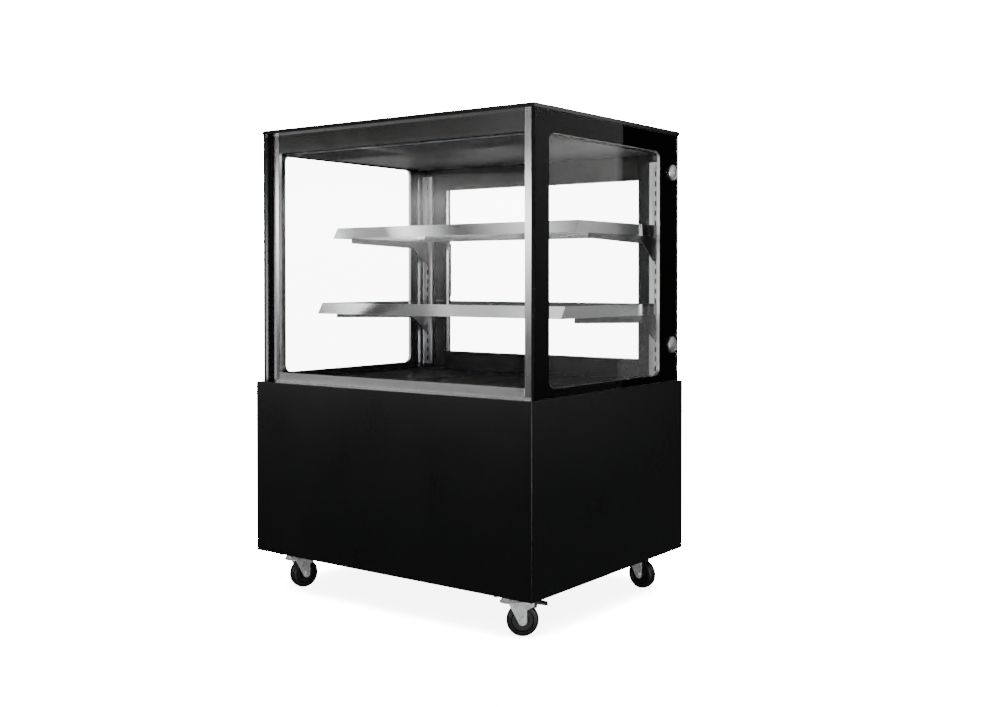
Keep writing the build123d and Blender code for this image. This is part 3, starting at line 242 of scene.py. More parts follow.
def brushedMaterial(name, color, stretch, roughLow, roughHigh, strength=0.12):
    material, tree, shader = startMaterial(name)
    grain = placeGroup(tree, brushedGrain, Stretch=stretch, Rough_Low=roughLow, Rough_High=roughHigh)
    tree.links.new(grain.outputs["Roughness"], shader.inputs["Roughness"])
    tone = mixColor(tree, grain.outputs["Tone"], secondTone(color, "grain"), color)
    tree.links.new(tone, shader.inputs["Base Color"])
    shader.inputs["Metallic"].default_value = 1.0
    addBump(tree, shader, grain.outputs["Height"], strength, 0.0001)
    return material


def glassMaterial(name, color, ior=1.45):
    material, tree, shader = startMaterial(name)
    shader.inputs["Base Color"].default_value = (*color, 1)
    shader.inputs["Transmission Weight"].default_value = 1.0
    shader.inputs["Metallic"].default_value = 0.0
    shader.inputs["IOR"].default_value = ior
    wipe = placeGroup(tree, handledFinish, Rough=0.012, Smear=0.01)
    tree.links.new(wipe.outputs["Roughness"], shader.inputs["Roughness"])
    return material


def galvanisedMaterial(name, color, rough, metallic=1.0):
    material, tree, shader = startMaterial(name)
    place = addNode(tree, "ShaderNodeTexCoord")
    spangle = addNode(tree, "ShaderNodeTexVoronoi", feature="SMOOTH_F1")
    spangle.inputs["Scale"].default_value = 140
    tree.links.new(place.outputs["Object"], spangle.inputs["Vector"])
    cell = addNode(tree, "ShaderNodeSeparateColor")
    tree.links.new(spangle.outputs["Color"], cell.inputs["Color"])
    tone = mixColor(tree, cell.outputs["Red"], secondTone(color, "spangle"), color)
    tree.links.new(tone, shader.inputs["Base Color"])
    gloss = mapRange(tree, cell.outputs["Green"], rough - 0.08, rough + 0.1)
    tree.links.new(gloss, shader.inputs["Roughness"])
    shader.inputs["Metallic"].default_value = metallic
    addBump(tree, shader, spangle.outputs["Distance"], 0.05, 0.0004)
    return material


def diffuserMaterial(name, color):
    material, tree, shader = startMaterial(name)
    place = addNode(tree, "ShaderNodeTexCoord")
    ribs = addNode(tree, "ShaderNodeTexWave", wave_type="BANDS", bands_direction="Y")
    ribs.inputs["Scale"].default_value = 150
    tree.links.new(place.outputs["Object"], ribs.inputs["Vector"])
    tone = mixColor(tree, ribs.outputs["Fac"], color, secondTone(color, "rib"))
    tree.links.new(tone, shader.inputs["Base Color"])
    shader.inputs["Roughness"].default_value = 0.35
    shader.inputs["Subsurface Weight"].default_value = 0.15
    addBump(tree, shader, ribs.outputs["Fac"], 0.2, 0.0003)
    return material


finishes = {
    "blackSheet": coatedMaterial("blackSheet", (0.0042, 0.0042, 0.0045), 0.3, 0.03, texture=0.006,
                                 grainSize=2600.0, specular=0.4),
    "blackBoard": coatedMaterial("blackBoard", (0.004, 0.004, 0.0045), 0.16, 0.04, texture=0.004),
    "blackFascia": coatedMaterial("blackFascia", (0.006, 0.006, 0.006), 0.15, 0.02, texture=0.0004, ior=2.4),
    "blackTrim": coatedMaterial("blackTrim", (0.009, 0.009, 0.0095), 0.36, 0.05, texture=0.01, specular=0.35),
    "brightUpright": brushedMaterial("brightUpright", (0.66, 0.66, 0.67), (1, 1, 0.03), 0.14, 0.22, 0.06),
    "brightAcross": brushedMaterial("brightAcross", (0.72, 0.72, 0.73), (0.03, 1, 1), 0.26, 0.36, 0.06),
    "steelShelf": brushedMaterial("steelShelf", (0.66, 0.66, 0.67), (0.03, 1, 1), 0.1, 0.17, 0.03),
    "steelUpright": brushedMaterial("steelUpright", (0.56, 0.56, 0.57), (1, 1, 0.04), 0.26, 0.38, 0.05),
    "bracketSteel": brushedMaterial("bracketSteel", (0.2, 0.2, 0.205), (0.05, 1, 1), 0.3, 0.42, 0.04),
    "galvanised": galvanisedMaterial("galvanised", (0.62, 0.64, 0.66), 0.38),
    "liner": coatedMaterial("liner", (0.16, 0.16, 0.165), 0.5, 0.06),
    "spacerBar": brushedMaterial("spacerBar", (0.8, 0.8, 0.81), (1, 1, 0.05), 0.3, 0.45),
    "edgeSeal": coatedMaterial("edgeSeal", (0.005, 0.005, 0.005), 0.6, 0.05, texture=0.02, specular=0.15),
    "clearGlass": glassMaterial("clearGlass", (0.996, 1.0, 0.998), 1.18),
    "borderPrint": coatedMaterial("borderPrint", (0.006, 0.006, 0.006), 0.22, 0.03, texture=0.01,
                                  specular=0.9),
    "ceilingGrey": coatedMaterial("ceilingGrey", (0.19, 0.19, 0.195), 0.5, 0.06, texture=0.01),
    "deckDark": coatedMaterial("deckDark", (0.012, 0.0115, 0.011), 0.34, 0.06, texture=0.008, specular=0.35),
    "diffuser": diffuserMaterial("diffuser", (0.6, 0.61, 0.6)),
    "lampHousing": coatedMaterial("lampHousing", (0.008, 0.008, 0.008), 0.4, 0.05, texture=0.01),
    "capMetal": brushedMaterial("capMetal", (0.86, 0.86, 0.87), (1, 1, 1), 0.3, 0.42, 0.02),
    "fins": brushedMaterial("fins", (0.6, 0.62, 0.64), (1, 1, 0.1), 0.3, 0.45),
    "copper": brushedMaterial("copper", (0.75, 0.36, 0.2), (1, 1, 1), 0.25, 0.4, 0.04),
    "blackPlastic": coatedMaterial("blackPlastic", (0.012, 0.012, 0.013), 0.45, 0.07, texture=0.15,
                                   grainSize=2200.0),
    "softRubber": coatedMaterial("softRubber", (0.012, 0.012, 0.012), 0.7, 0.06, texture=0.2,
                                 grainSize=1800.0),
    "wheelRubber": coatedMaterial("wheelRubber", (0.008, 0.008, 0.0085), 0.42, 0.08, texture=0.12),
    "zinc": galvanisedMaterial("zinc", (0.86, 0.87, 0.88), 0.34, 0.35),
    "enamel": coatedMaterial("enamel", (0.006, 0.006, 0.006), 0.28, 0.05, texture=0.04),
    "boltZinc": brushedMaterial("boltZinc", (0.7, 0.7, 0.71), (1, 1, 1), 0.28, 0.4, 0.03),
    "palePrint": coatedMaterial("palePrint", (0.7, 0.7, 0.68), 0.5, 0.04, texture=0.02),
    "displayWindow": coatedMaterial("displayWindow", (0.02, 0.002, 0.002), 0.08, 0.02, texture=0.01),
}
print("materials built:", len(finishes))


# how a node's mesh is cleaned, and how its folds are rounded and shaded; angles in degrees
cleaning = {"mergeDistance": 0.00001, "flatAngle": 0.6}
softening = {"segments": 2, "foldAngle": 30, "shadeAngle": 35}


# dressing a CAD node: the same shape with its folds and arrises softened
def mergedCopy(nodeName, label):
    mesh = nodes[nodeName].data.copy()
    mesh.name = label
    work = bmesh.new()
    work.from_mesh(mesh)
    bmesh.ops.remove_doubles(work, verts=work.verts, dist=cleaning["mergeDistance"])
    flat = math.radians(cleaning["flatAngle"])
    bmesh.ops.dissolve_limit(work, angle_limit=flat, verts=work.verts, edges=work.edges)
    work.to_mesh(mesh)
    work.free()
    mesh.materials.clear()
    return mesh


def linkPiece(name, mesh, material):
    piece = bpy.data.objects.new(name, mesh)
    bpy.context.collection.objects.link(piece)
    mesh.materials.append(finishes[material])
    return piece


def smoothByAngle(mesh, angle=30):
    for polygon in mesh.polygons:
        polygon.use_smooth = True
    mesh.set_sharp_from_angle(angle=math.radians(angle))


def softenEdges(piece, width):
    bevel = piece.modifiers.new("softEdges", "BEVEL")
    bevel.width = width
    bevel.segments = softening["segments"]
    bevel.limit_method = "ANGLE"
    bevel.angle_limit = math.radians(softening["foldAngle"])
    bevel.harden_normals = False
    bevel.use_clamp_overlap = True
    bevel.miter_outer = "MITER_ARC"
    smoothByAngle(piece.data, softening["shadeAngle"])


def dressNode(nodeName, material, width):
    piece = linkPiece(nodeName + "_dressed", mergedCopy(nodeName, nodeName + "_dressed"), material)
    if width:
        softenEdges(piece, width)
    else:
        smoothByAngle(piece.data)
    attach(piece, riders[nodeName])
    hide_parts(nodeName)
    return piece


# each node's finish and how far its edges are softened
dressing = {
    "base_front_panel": ("blackSheet", 0.0003), "base_left_panel": ("blackSheet", 0.0003),
    "base_right_panel": ("blackSheet", 0.0003), "rear_panel": ("blackSheet", 0.0003),
    "louvre_panel": ("blackSheet", 0.0), "floor_pan": ("galvanised", 0.0003),
    "base_frame": ("galvanised", 0.0008),
    "left_outer_pane": ("clearGlass", 0.0008), "right_outer_pane": ("clearGlass", 0.0008),
    "front_outer_pane": ("clearGlass", 0.0008), "inner_panes": ("clearGlass", 0.0006),
    "glass_caps": ("capMetal", 0.0), "front_trim": ("brightUpright", 0.0004),
    "front_fascia": ("blackFascia", 0.0003), "top_plate": ("blackBoard", 0.0004),
    "ceiling_panel": ("ceilingGrey", 0.0004), "led_lamps": ("diffuser", 0.0008),
    "rear_frame": ("blackTrim", 0.0005), "door_tracks": ("blackPlastic", 0.0003),
    "left_door_frame": ("brightUpright", 0.0005), "right_door_frame": ("brightUpright", 0.0005),
    "left_door_glass": ("clearGlass", 0.0006), "right_door_glass": ("clearGlass", 0.0006),
    "shelf_standards": ("steelUpright", 0.0003), "shelf_brackets": ("bracketSteel", 0.0004),
    "upper_shelf_frame": ("steelShelf", 0.0004), "lower_shelf_frame": ("steelShelf", 0.0004),
    "upper_shelf_glass": ("clearGlass", 0.0008), "lower_shelf_glass": ("clearGlass", 0.0008),
    "insulated_well": ("liner", 0.0015), "deck_plate": ("deckDark", 0.0003),
    "evaporator_bulkhead": ("galvanised", 0.0), "evaporator_fan": ("blackPlastic", 0.0),
    "condenser_shroud": ("galvanised", 0.0), "condenser_fan": ("blackPlastic", 0.0),
    "evaporator_coil": ("fins", 0.0), "condenser_coil": ("fins", 0.0),
    "compressor": ("enamel", 0.0), "compressor_grommets": ("softRubber", 0.0006),
    "condensate_tray": ("blackPlastic", 0.0006), "refrigerant_lines": ("copper", 0.0),
    "temperature_controller": ("blackPlastic", 0.0003), "down_key": ("softRubber", 0.0004),
    "up_key": ("softRubber", 0.0004), "switch_housings": ("blackPlastic", 0.0003),
    "light_switch": ("blackPlastic", 0.0003), "power_switch": ("blackPlastic", 0.0003),
    "power_inlet": ("blackPlastic", 0.0003), "caster_plates": ("zinc", 0.0003),
}
for corner in ("front_left", "front_right", "rear_left", "rear_right"):
    dressing["fork_" + corner] = ("zinc", 0.0004)
    dressing["wheel_" + corner] = ("wheelRubber", 0.0)
for corner in ("front_left", "front_right"):
    dressing["brake_" + corner] = ("blackPlastic", 0.0008)

dressed = {}
for nodeName, (material, width) in dressing.items():
    dressed[nodeName] = dressNode(nodeName, material, width)
print("nodes dressed:", len(dressed))


# the border is black towards the outside, bare metal towards the cakes, sealed at the pane's front edge
borderZones = {"printEdge": 0.4336, "sealLine": -0.25, "facing": -0.9}


def repaintBorder():
    zones = borderZones
    mesh = mergedCopy("pane_borders", "paneBorders")
    piece = linkPiece("paneBorders", mesh, "borderPrint")
    mesh.materials.append(finishes["spacerBar"])
    mesh.materials.append(finishes["edgeSeal"])
    for polygon in mesh.polygons:
        polygon.material_index = 0 if abs(polygon.center.x) > zones["printEdge"] else 1
        if polygon.normal.y < zones["facing"] and polygon.center.y < zones["sealLine"]:
            polygon.material_index = 2
    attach(piece, riders["pane_borders"])
    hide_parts("pane_borders")


repaintBorder()
print("glass borders painted")


# the ground edges of the outer side panes are sealed black
def sealPaneEdges():
    sideways = 0.5  # faces that look less sideways than this are edges
    for nodeName in ("left_outer_pane", "right_outer_pane"):
        mesh = dressed[nodeName].data
        mesh.materials.append(finishes["edgeSeal"])
        for polygon in mesh.polygons:
            polygon.material_index = 1 if abs(polygon.normal.x) < sideways else 0


sealPaneEdges()


# the shelf lamps are black channels whose lens looks down and back at the cakes
lampZones = {"canopyLevel": 1.1, "lensTilt": 0.2}


def paintLamps():
    zones = lampZones
    mesh = dressed["led_lamps"].data
    mesh.materials.append(finishes["lampHousing"])
    for polygon in mesh.polygons:
        lens = polygon.normal.z < -zones["lensTilt"] and polygon.normal.y > zones["lensTilt"]
        if polygon.center.z < zones["canopyLevel"] and not lens:
            polygon.material_index = 1


paintLamps()


# the bottom bar of the trim is brushed along its length
def turnTrimGrain():
    barHalfLength = 0.403
    mesh = dressed["front_trim"].data
    mesh.materials.append(finishes["brightAcross"])
    for polygon in mesh.polygons:
        if max(abs(mesh.vertices[index].co.x) for index in polygon.vertices) < barHalfLength:
            polygon.material_index = 1


turnTrimGrain()
print("lamps, seals and trim finished")


fullTurn = 6.28  # each fixing stands at its own angle, up to one turn


# Geometry Nodes tree that sets one small fixing on every point, turned out of the surface
def buildFixingTree():
    tree = bpy.data.node_groups.new("placeFixings", "GeometryNodeTree")
    tree.is_modifier = True
    addSocket(tree, "Geometry", "Geometry", True)
    addSocket(tree, "Fixing", "Object", True)
    addSocket(tree, "Size", "Float", True, 1.0)
    addSocket(tree, "Turn", "Float", True, fullTurn)
    addSocket(tree, "Finish", "Material", True)
    addSocket(tree, "Geometry", "Geometry", False)
    links = tree.links
    ends = addNode(tree, "NodeGroupInput")
    outs = addNode(tree, "NodeGroupOutput")
    source = addNode(tree, "GeometryNodeObjectInfo")
    links.new(ends.outputs["Fixing"], source.inputs["Object"])
    facing = addNode(tree, "GeometryNodeInputNamedAttribute", data_type="FLOAT_VECTOR")
    facing.inputs["Name"].default_value = "facing"
    align = addNode(tree, "FunctionNodeAlignRotationToVector", axis="Z")
    links.new(facing.outputs["Attribute"], align.inputs["Vector"])
    onPoints = addNode(tree, "GeometryNodeInstanceOnPoints")
    links.new(ends.outputs["Geometry"], onPoints.inputs["Points"])
    links.new(source.outputs["Geometry"], onPoints.inputs["Instance"])
    links.new(align.outputs["Rotation"], onPoints.inputs["Rotation"])
    links.new(ends.outputs["Size"], onPoints.inputs["Scale"])
    angle = addNode(tree, "FunctionNodeRandomValue", data_type="FLOAT")
    angle.inputs["Seed"].default_value = 7
    links.new(ends.outputs["Turn"], angle.inputs[3])
    spin = addNode(tree, "ShaderNodeCombineXYZ")
    links.new(angle.outputs[1], spin.inputs["Z"])
    turned = addNode(tree, "GeometryNodeRotateInstances")
    links.new(onPoints.outputs["Instances"], turned.inputs["Instances"])
    links.new(spin.outputs[0], turned.inputs["Rotation"])
    real = addNode(tree, "GeometryNodeRealizeInstances")
    links.new(turned.outputs["Instances"], real.inputs["Geometry"])
    paint = addNode(tree, "GeometryNodeSetMaterial")
    links.new(real.outputs["Geometry"], paint.inputs["Geometry"])
    links.new(ends.outputs["Finish"], paint.inputs["Material"])
    links.new(paint.outputs["Geometry"], outs.inputs["Geometry"])
    return tree


fixingTree = buildFixingTree()


def setInput(modifier, label, value):
    for item in modifier.node_group.interface.items_tree:
        if item.item_type == "SOCKET" and item.in_out == "INPUT" and item.name == label:
            modifier[item.identifier] = value


# a turned shape: each ring is a radius, or a rule for it, and a height, and both end rings are closed
def turnedShape(name, rings, sides=24):
    work = bmesh.new()
    loops = []
    for rule, height in rings:
        loop = []
        for step in range(sides):
            angle = 2 * math.pi * step / sides
            radius = rule(angle) if callable(rule) else rule
            loop.append(work.verts.new((radius * math.cos(angle), radius * math.sin(angle), height)))
        loops.append(loop)
    for lower, upper in zip(loops, loops[1:]):
        for step in range(sides):
            following = (step + 1) % sides
            work.faces.new((lower[step], lower[following], upper[following], upper[step]))
    work.faces.new(loops[-1])
    work.faces.new(list(reversed(loops[0])))
    bmesh.ops.recalc_face_normals(work, faces=work.faces)
    mesh = bpy.data.meshes.new(name)
    work.to_mesh(mesh)
    work.free()
    source = bpy.data.objects.new(name, mesh)
    bpy.context.collection.objects.link(source)
    return source


# a hexagon, by the distance across its flats
def hexRule(flats):
    return lambda angle: flats / 2 / math.cos((angle + math.pi / 6) % (math.pi / 3) - math.pi / 6)


# a cross with an arm at every quarter turn
def crossRule(arm, throat):
    quarter = math.pi / 2
    armHalfAngle = 0.3
    return lambda angle: arm if abs((angle + quarter / 2) % quarter - quarter / 2) < armHalfAngle else throat


# pan head with a cross recess, hexagon head on a washer, button head and cap face with a hexagon recess
fixings = {
    "panScrew": turnedShape("panScrewShape", [
        (0.0036, 0.0), (0.0037, 0.0007), (0.0033, 0.0015), (0.0025, 0.0020),
        (crossRule(0.0019, 0.0008), 0.0021), (crossRule(0.0015, 0.0005), 0.0009)], 32),
    "hexBolt": turnedShape("hexBoltShape", [
        (0.0085, 0.0), (0.0085, 0.0012), (hexRule(0.0100), 0.0012), (hexRule(0.0100), 0.0048),
        (0.0047, 0.0053), (0.0030, 0.0053)], 24),
    "socketScrew": turnedShape("socketScrewShape", [
        (0.0042, 0.0), (0.0046, 0.0006), (0.0043, 0.0016), (0.0034, 0.0022),
        (hexRule(0.0042), 0.0022), (hexRule(0.0038), 0.0008)], 24),
    "capFace": turnedShape("capFaceShape", [
        (0.0180, 0.0), (0.0180, 0.0007), (0.0172, 0.0010), (0.0160, 0.0010), (0.0150, 0.0004),
        (0.0138, 0.0004), (0.0130, 0.0009), (hexRule(0.0080), 0.0009), (hexRule(0.0076), 0.0002)], 48),
}


def placeFixings(name, shape, points, finish, nodeName, size=1.0):
    host = bpy.data.meshes.new(name + "Points")
    host.from_pydata([place for place, facing in points], [], [])
    attribute = host.attributes.new("facing", "FLOAT_VECTOR", "POINT")
    for index, (place, facing) in enumerate(points):
        attribute.data[index].vector = facing
    carrier = bpy.data.objects.new(name + "Points", host)
    bpy.context.collection.objects.link(carrier)
    modifier = carrier.modifiers.new("placeFixings", "NODES")
    modifier.node_group = fixingTree
    settings = {"Fixing": fixings[shape], "Size": size, "Turn": fullTurn, "Finish": finishes[finish]}
    for label, value in settings.items():
        setInput(modifier, label, value)
    bpy.context.view_layer.update()
    evaluated = carrier.evaluated_get(bpy.context.evaluated_depsgraph_get())
    mesh = bpy.data.meshes.new_from_object(evaluated)
    mesh.name = name
    bpy.data.objects.remove(carrier)
    smoothByAngle(mesh, softening["shadeAngle"])
    piece = bpy.data.objects.new(name, mesh)
    bpy.context.collection.objects.link(piece)
    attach(piece, riders[nodeName])


def rowOf(start, end, count):
    return [tuple(Vector(start).lerp(Vector(end), index / (count - 1))) for index in range(count)]


# screws of the rear panel and of its louvre insert
rearScrews = {"edge": 0.437, "face": 0.348, "low": 0.108, "high": 0.535, "across": 7, "upright": 4,
              "louvreLeft": -0.4145, "louvreRight": 0.1845, "louvreLow": 0.1305, "louvreHigh": 0.3320,
              "louvreAcross": 5, "size": 0.9}


def placeRearScrews():
    spec = rearScrews
    places = rowOf((-spec["edge"], 0, spec["low"]), (spec["edge"], 0, spec["low"]), spec["across"])
    places += rowOf((-spec["edge"], 0, spec["high"]), (spec["edge"], 0, spec["high"]), spec["across"])
    for side in (-1, 1):
        ends = ((side * spec["edge"], 0, spec["low"]), (side * spec["edge"], 0, spec["high"]))
        places += rowOf(*ends, spec["upright"])[1:-1]
    for z in (spec["louvreLow"], spec["louvreHigh"]):
        places += rowOf((spec["louvreLeft"], 0, z), (spec["louvreRight"], 0, z), spec["louvreAcross"])
    points = [((x, spec["face"], z), (0, 1, 0)) for x, y, z in places]
    placeFixings("rearScrews", "panScrew", points, "boltZinc", "rear_panel", spec["size"])


# bolts that hold the caster plates to the rails
casterBolts = {"pitch": 0.022, "level": 0.0955,
               "places": ((-0.356, -0.306), (0.356, -0.306), (-0.356, 0.250), (0.356, 0.250))}


def placeCasterBolts():
    spec = casterBolts
    points = []
    for x, y in spec["places"]:
        for side in (-1, 1):
            for end in (-1, 1):
                place = (x + side * spec["pitch"], y + end * spec["pitch"], spec["level"])
                points.append((place, (0, 0, -1)))
    placeFixings("casterBolts", "hexBolt", points, "boltZinc", "caster_plates")


# screws that hold the standards to the rear posts, clear of the slots
standardScrews = {"across": 0.395, "face": 0.290, "levels": (0.5665, 0.853, 1.1195), "size": 0.8}


def placeStandardScrews():
    spec = standardScrews
    points = []
    for side in (-1, 1):
        for z in spec["levels"]:
            points.append(((side * spec["across"], spec["face"], z), (0, -1, 0)))
    placeFixings("standardScrews", "socketScrew", points, "boltZinc", "shelf_standards", spec["size"])


# turned face of the glass caps: a raised rim, a groove and a hex recess
capFaces = {"face": 0.4488, "y": 0.301, "levels": (0.646, 1.102)}


def placeCapFaces():
    spec = capFaces
    points = []
    for side in (-1, 1):
        for z in spec["levels"]:
            points.append(((side * spec["face"], spec["y"], z), (side, 0, 0)))
    placeFixings("capFaces", "capFace", points, "capMetal", "glass_caps")


placeRearScrews()
placeCasterBolts()
placeStandardScrews()
placeCapFaces()
for shape in fixings.values():  # the shapes are only patterns, not pieces of the case
    bpy.data.objects.remove(shape)
print("screws and bolts placed")


# a thin raised shape on the rear of the case: an outline in x and z, seen from behind
def raisedOutline(name, outline, depth, place, finish, nodeName, soften):
    work = bmesh.new()
    rings = []
    for lift in (0.0, depth):
        rings.append([work.verts.new(Vector(place) + Vector((-u, lift, v))) for u, v in outline])
    count = len(outline)
    for step in range(count):
        following = (step + 1) % count
        work.faces.new((rings[0][step], rings[0][following], rings[1][following], rings[1][step]))
    work.faces.new(rings[1])
    work.faces.new(list(reversed(rings[0])))
    bmesh.ops.recalc_face_normals(work, faces=work.faces)
    mesh = bpy.data.meshes.new(name)
    work.to_mesh(mesh)
    work.free()
    piece = linkPiece(name, mesh, finish)
    softenEdges(piece, soften)
    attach(piece, riders[nodeName])


# arrows on the two keys
keyMarks = {"x": 0.342, "face": 0.34995, "half": 0.0011, "rise": 0.0009, "depth": 0.00004, "soften": 0.00001,
            "keys": (("down_key", -1, 0.281), ("up_key", 1, 0.295))}


def markKeys():
    spec = keyMarks
    half = spec["half"]
    for nodeName, sign, z in spec["keys"]:
        rise = sign * spec["rise"]
        outline = [(-half, -rise), (half, -rise), (0, rise)]
        raisedOutline(nodeName + "_arrow", outline, spec["depth"], (spec["x"], spec["face"], z),
                      "palePrint", nodeName, spec["soften"])


# dark lens of the temperature display
displayLens = {"left": 0.2894, "right": 0.3276, "low": 0.2794, "high": 0.2966, "face": 0.349,
               "depth": 0.0004, "soften": 0.0001}


def makeDisplayLens():
    spec = displayLens
    x0, x1, z0, z1 = spec["left"], spec["right"], spec["low"], spec["high"]
    outline = [(-x0, z0), (-x1, z0), (-x1, z1), (-x0, z1)]
    raisedOutline("displayLens", outline, spec["depth"], (0, spec["face"], 0), "displayWindow",
                  "temperature_controller", spec["soften"])


markKeys()
makeDisplayLens()
print("controls marked")


# silicone beads where the inner side panes meet the deck and the ceiling
beads = {"radius": 0.0022, "side": 0.4212, "front": -0.2832, "rear": 0.272, "low": 0.5502, "high": 1.1533}


def makeBeads():
    spec = beads
    curve = bpy.data.curves.new("jointBeads", "CURVE")
    curve.dimensions = "3D"
    curve.bevel_depth = spec["radius"]
    curve.bevel_resolution = 3
    curve.use_fill_caps = True
    runs = []
    for side in (-1, 1):
        x = side * (spec["side"] - spec["radius"])
        for z in (spec["low"] + spec["radius"], spec["high"] - spec["radius"]):
            runs.append(((x, spec["front"], z), (x, spec["rear"], z)))
    for start, end in runs:
        spline = curve.splines.new("POLY")
        spline.points.add(1)
        spline.points[0].co = (*start, 1)
        spline.points[1].co = (*end, 1)
    carrier = bpy.data.objects.new("jointBeadsCurve", curve)
    bpy.context.collection.objects.link(carrier)
    bpy.context.view_layer.update()
    mesh = bpy.data.meshes.new_from_object(carrier.evaluated_get(bpy.context.evaluated_depsgraph_get()))
    bpy.data.objects.remove(carrier)
    mesh.materials.clear()
    piece = linkPiece("jointBeads", mesh, "softRubber")
    smoothByAngle(mesh, 40)
    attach(piece, riders["inner_panes"])


makeBeads()
print("joints sealed")


# studio: pale floor, white surroundings, soft boxes that the metal and the black sheet mirror
studio = {
    "backdrop": 42.0,
    "ambience": 0.85,
    "mirroredAir": 0.05,
    "floorColor": (0.86, 0.86, 0.86),
    "shadowTint": 0.16,
    "shadowReach": 0.55,
}


# a card: its corners, its brightness in the band's middle and away from it, the band along a direction,
# and how steeply it fades
def softBox(corners, power, least, along, band, steep):
    return {"corners": corners, "power": power, "least": least, "along": along, "band": band, "steep": steep}


acrossWay = (1, 0, 0)
upWay = (0, 0, 1)


# a card that stands over the line from one floor point to another
def standing(start, end, low, high):
    return ((*start, low), (*end, low), (*end, high), (*start, high))


# a card that hangs level over a rectangle; swapping front and rear turns its face down
def hanging(left, right, front, rear, height):
    return ((left, front, height), (right, front, height), (right, rear, height), (left, rear, height))


softBoxes = {
    "frontBox": softBox(standing((-3.5, -1.75), (-0.7, -3.0), 0.1, 1.33),
                        7.2, 0.12, upWay, (0.46, 1.2, 1.42), 2.5),
    "fasciaBox": softBox(standing((-2.4, -2.4), (-0.6, -3.2), 1.54, 2.1),
                         0.5, 0.0, acrossWay, (-2.3, -1.1, 0.4), 1.6),
    "sideBox": softBox(standing((1.975, 2.6), (2.9, 0.4), 0.1, 2.6),
                       1.5, 0.16, upWay, (0.1, 1.8, 4.2), 1.6),
    "cornerBox": softBox(standing((2.2, -2.9), (3.3, -1.6), 0.0, 1.1),
                         15.0, 6.0, upWay, (-0.6, 0.6, 1.8), 1.6),
    "shelfLeftBox": softBox(hanging(-3.9, -2.62, -2.3, -0.2, 3.0),
                            5.0, 0.15, acrossWay, (-3.3, -2.72, -2.3), 2.6),
    "shelfRightBox": softBox(hanging(-2.58, -0.5, -2.3, -0.2, 3.0),
                             2.2, 0.1, acrossWay, (-2.5, -1.4, 1.2), 1.2),
    "canopyLeftBox": softBox(hanging(-0.41, -0.15, -0.09, -0.284, 1.1525),
                             3.4, 0.05, acrossWay, (-0.5, -0.34, -0.14), 1.8),
    "canopyRightBox": softBox(hanging(-0.1, 0.42, -0.09, -0.284, 1.1525),
                              1.8, 0.05, acrossWay, (-0.14, 0.12, 0.34), 1.4),
}


# 1 where the eye or a ray straight through glass looks, 0 for light that has bounced
def directSight(tree):
    path = addNode(tree, "ShaderNodeLightPath")
    bounces = addNode(tree, "ShaderNodeMath", operation="ADD", use_clamp=True)
    tree.links.new(path.outputs["Diffuse Depth"], bounces.inputs[0])
    tree.links.new(path.outputs["Glossy Depth"], bounces.inputs[1])
    unbounced = addNode(tree, "ShaderNodeMath", operation="SUBTRACT", use_clamp=True)
    unbounced.inputs[0].default_value = 1
    tree.links.new(bounces.outputs[0], unbounced.inputs[1])
    through = addNode(tree, "ShaderNodeMath", operation="MULTIPLY")
    tree.links.new(path.outputs["Is Transmission Ray"], through.inputs[0])
    tree.links.new(unbounced.outputs[0], through.inputs[1])
    both = addNode(tree, "ShaderNodeMath", operation="ADD", use_clamp=True)
    tree.links.new(path.outputs["Is Camera Ray"], both.inputs[0])
    tree.links.new(through.outputs[0], both.inputs[1])
    return both.outputs[0]


def makeFloor():
    mesh = bpy.data.meshes.new("studioFloor")
    span = 30
    corners = [(-span, -span, 0), (span, -span, 0), (span, span, 0), (-span, span, 0)]
    mesh.from_pydata(corners, [], [(0, 1, 2, 3)])
    floor = bpy.data.objects.new("studioFloor", mesh)
    bpy.context.collection.objects.link(floor)
    material, tree, shader = startMaterial("studioFloor")
    shader.inputs["Base Color"].default_value = (*studio["floorColor"], 1)
    shader.inputs["Roughness"].default_value = 0.8
    # painted shadow: seen straight on or through glass, the floor is clear and shows the backdrop, tinted
    # darker where ambient occlusion finds the case close above it
    nearby = addNode(tree, "ShaderNodeAmbientOcclusion")
    nearby.samples = 12
    nearby.inputs["Distance"].default_value = studio["shadowReach"]
    shade = mapRange(tree, nearby.outputs["AO"], studio["shadowTint"], 1.0, 0.3, 1.0)
    tint = addNode(tree, "ShaderNodeCombineColor")
    for channel in ("Red", "Green", "Blue"):
        tree.links.new(shade, tint.inputs[channel])
    clear = addNode(tree, "ShaderNodeBsdfTransparent")
    tree.links.new(tint.outputs["Color"], clear.inputs["Color"])
    mix = addNode(tree, "ShaderNodeMixShader")
    tree.links.new(directSight(tree), mix.inputs[0])
    tree.links.new(shader.outputs[0], mix.inputs[1])
    tree.links.new(clear.outputs[0], mix.inputs[2])
    tree.links.new(mix.outputs[0], tree.nodes["Material Output"].inputs["Surface"])
    mesh.materials.append(material)
    floor.visible_glossy = False


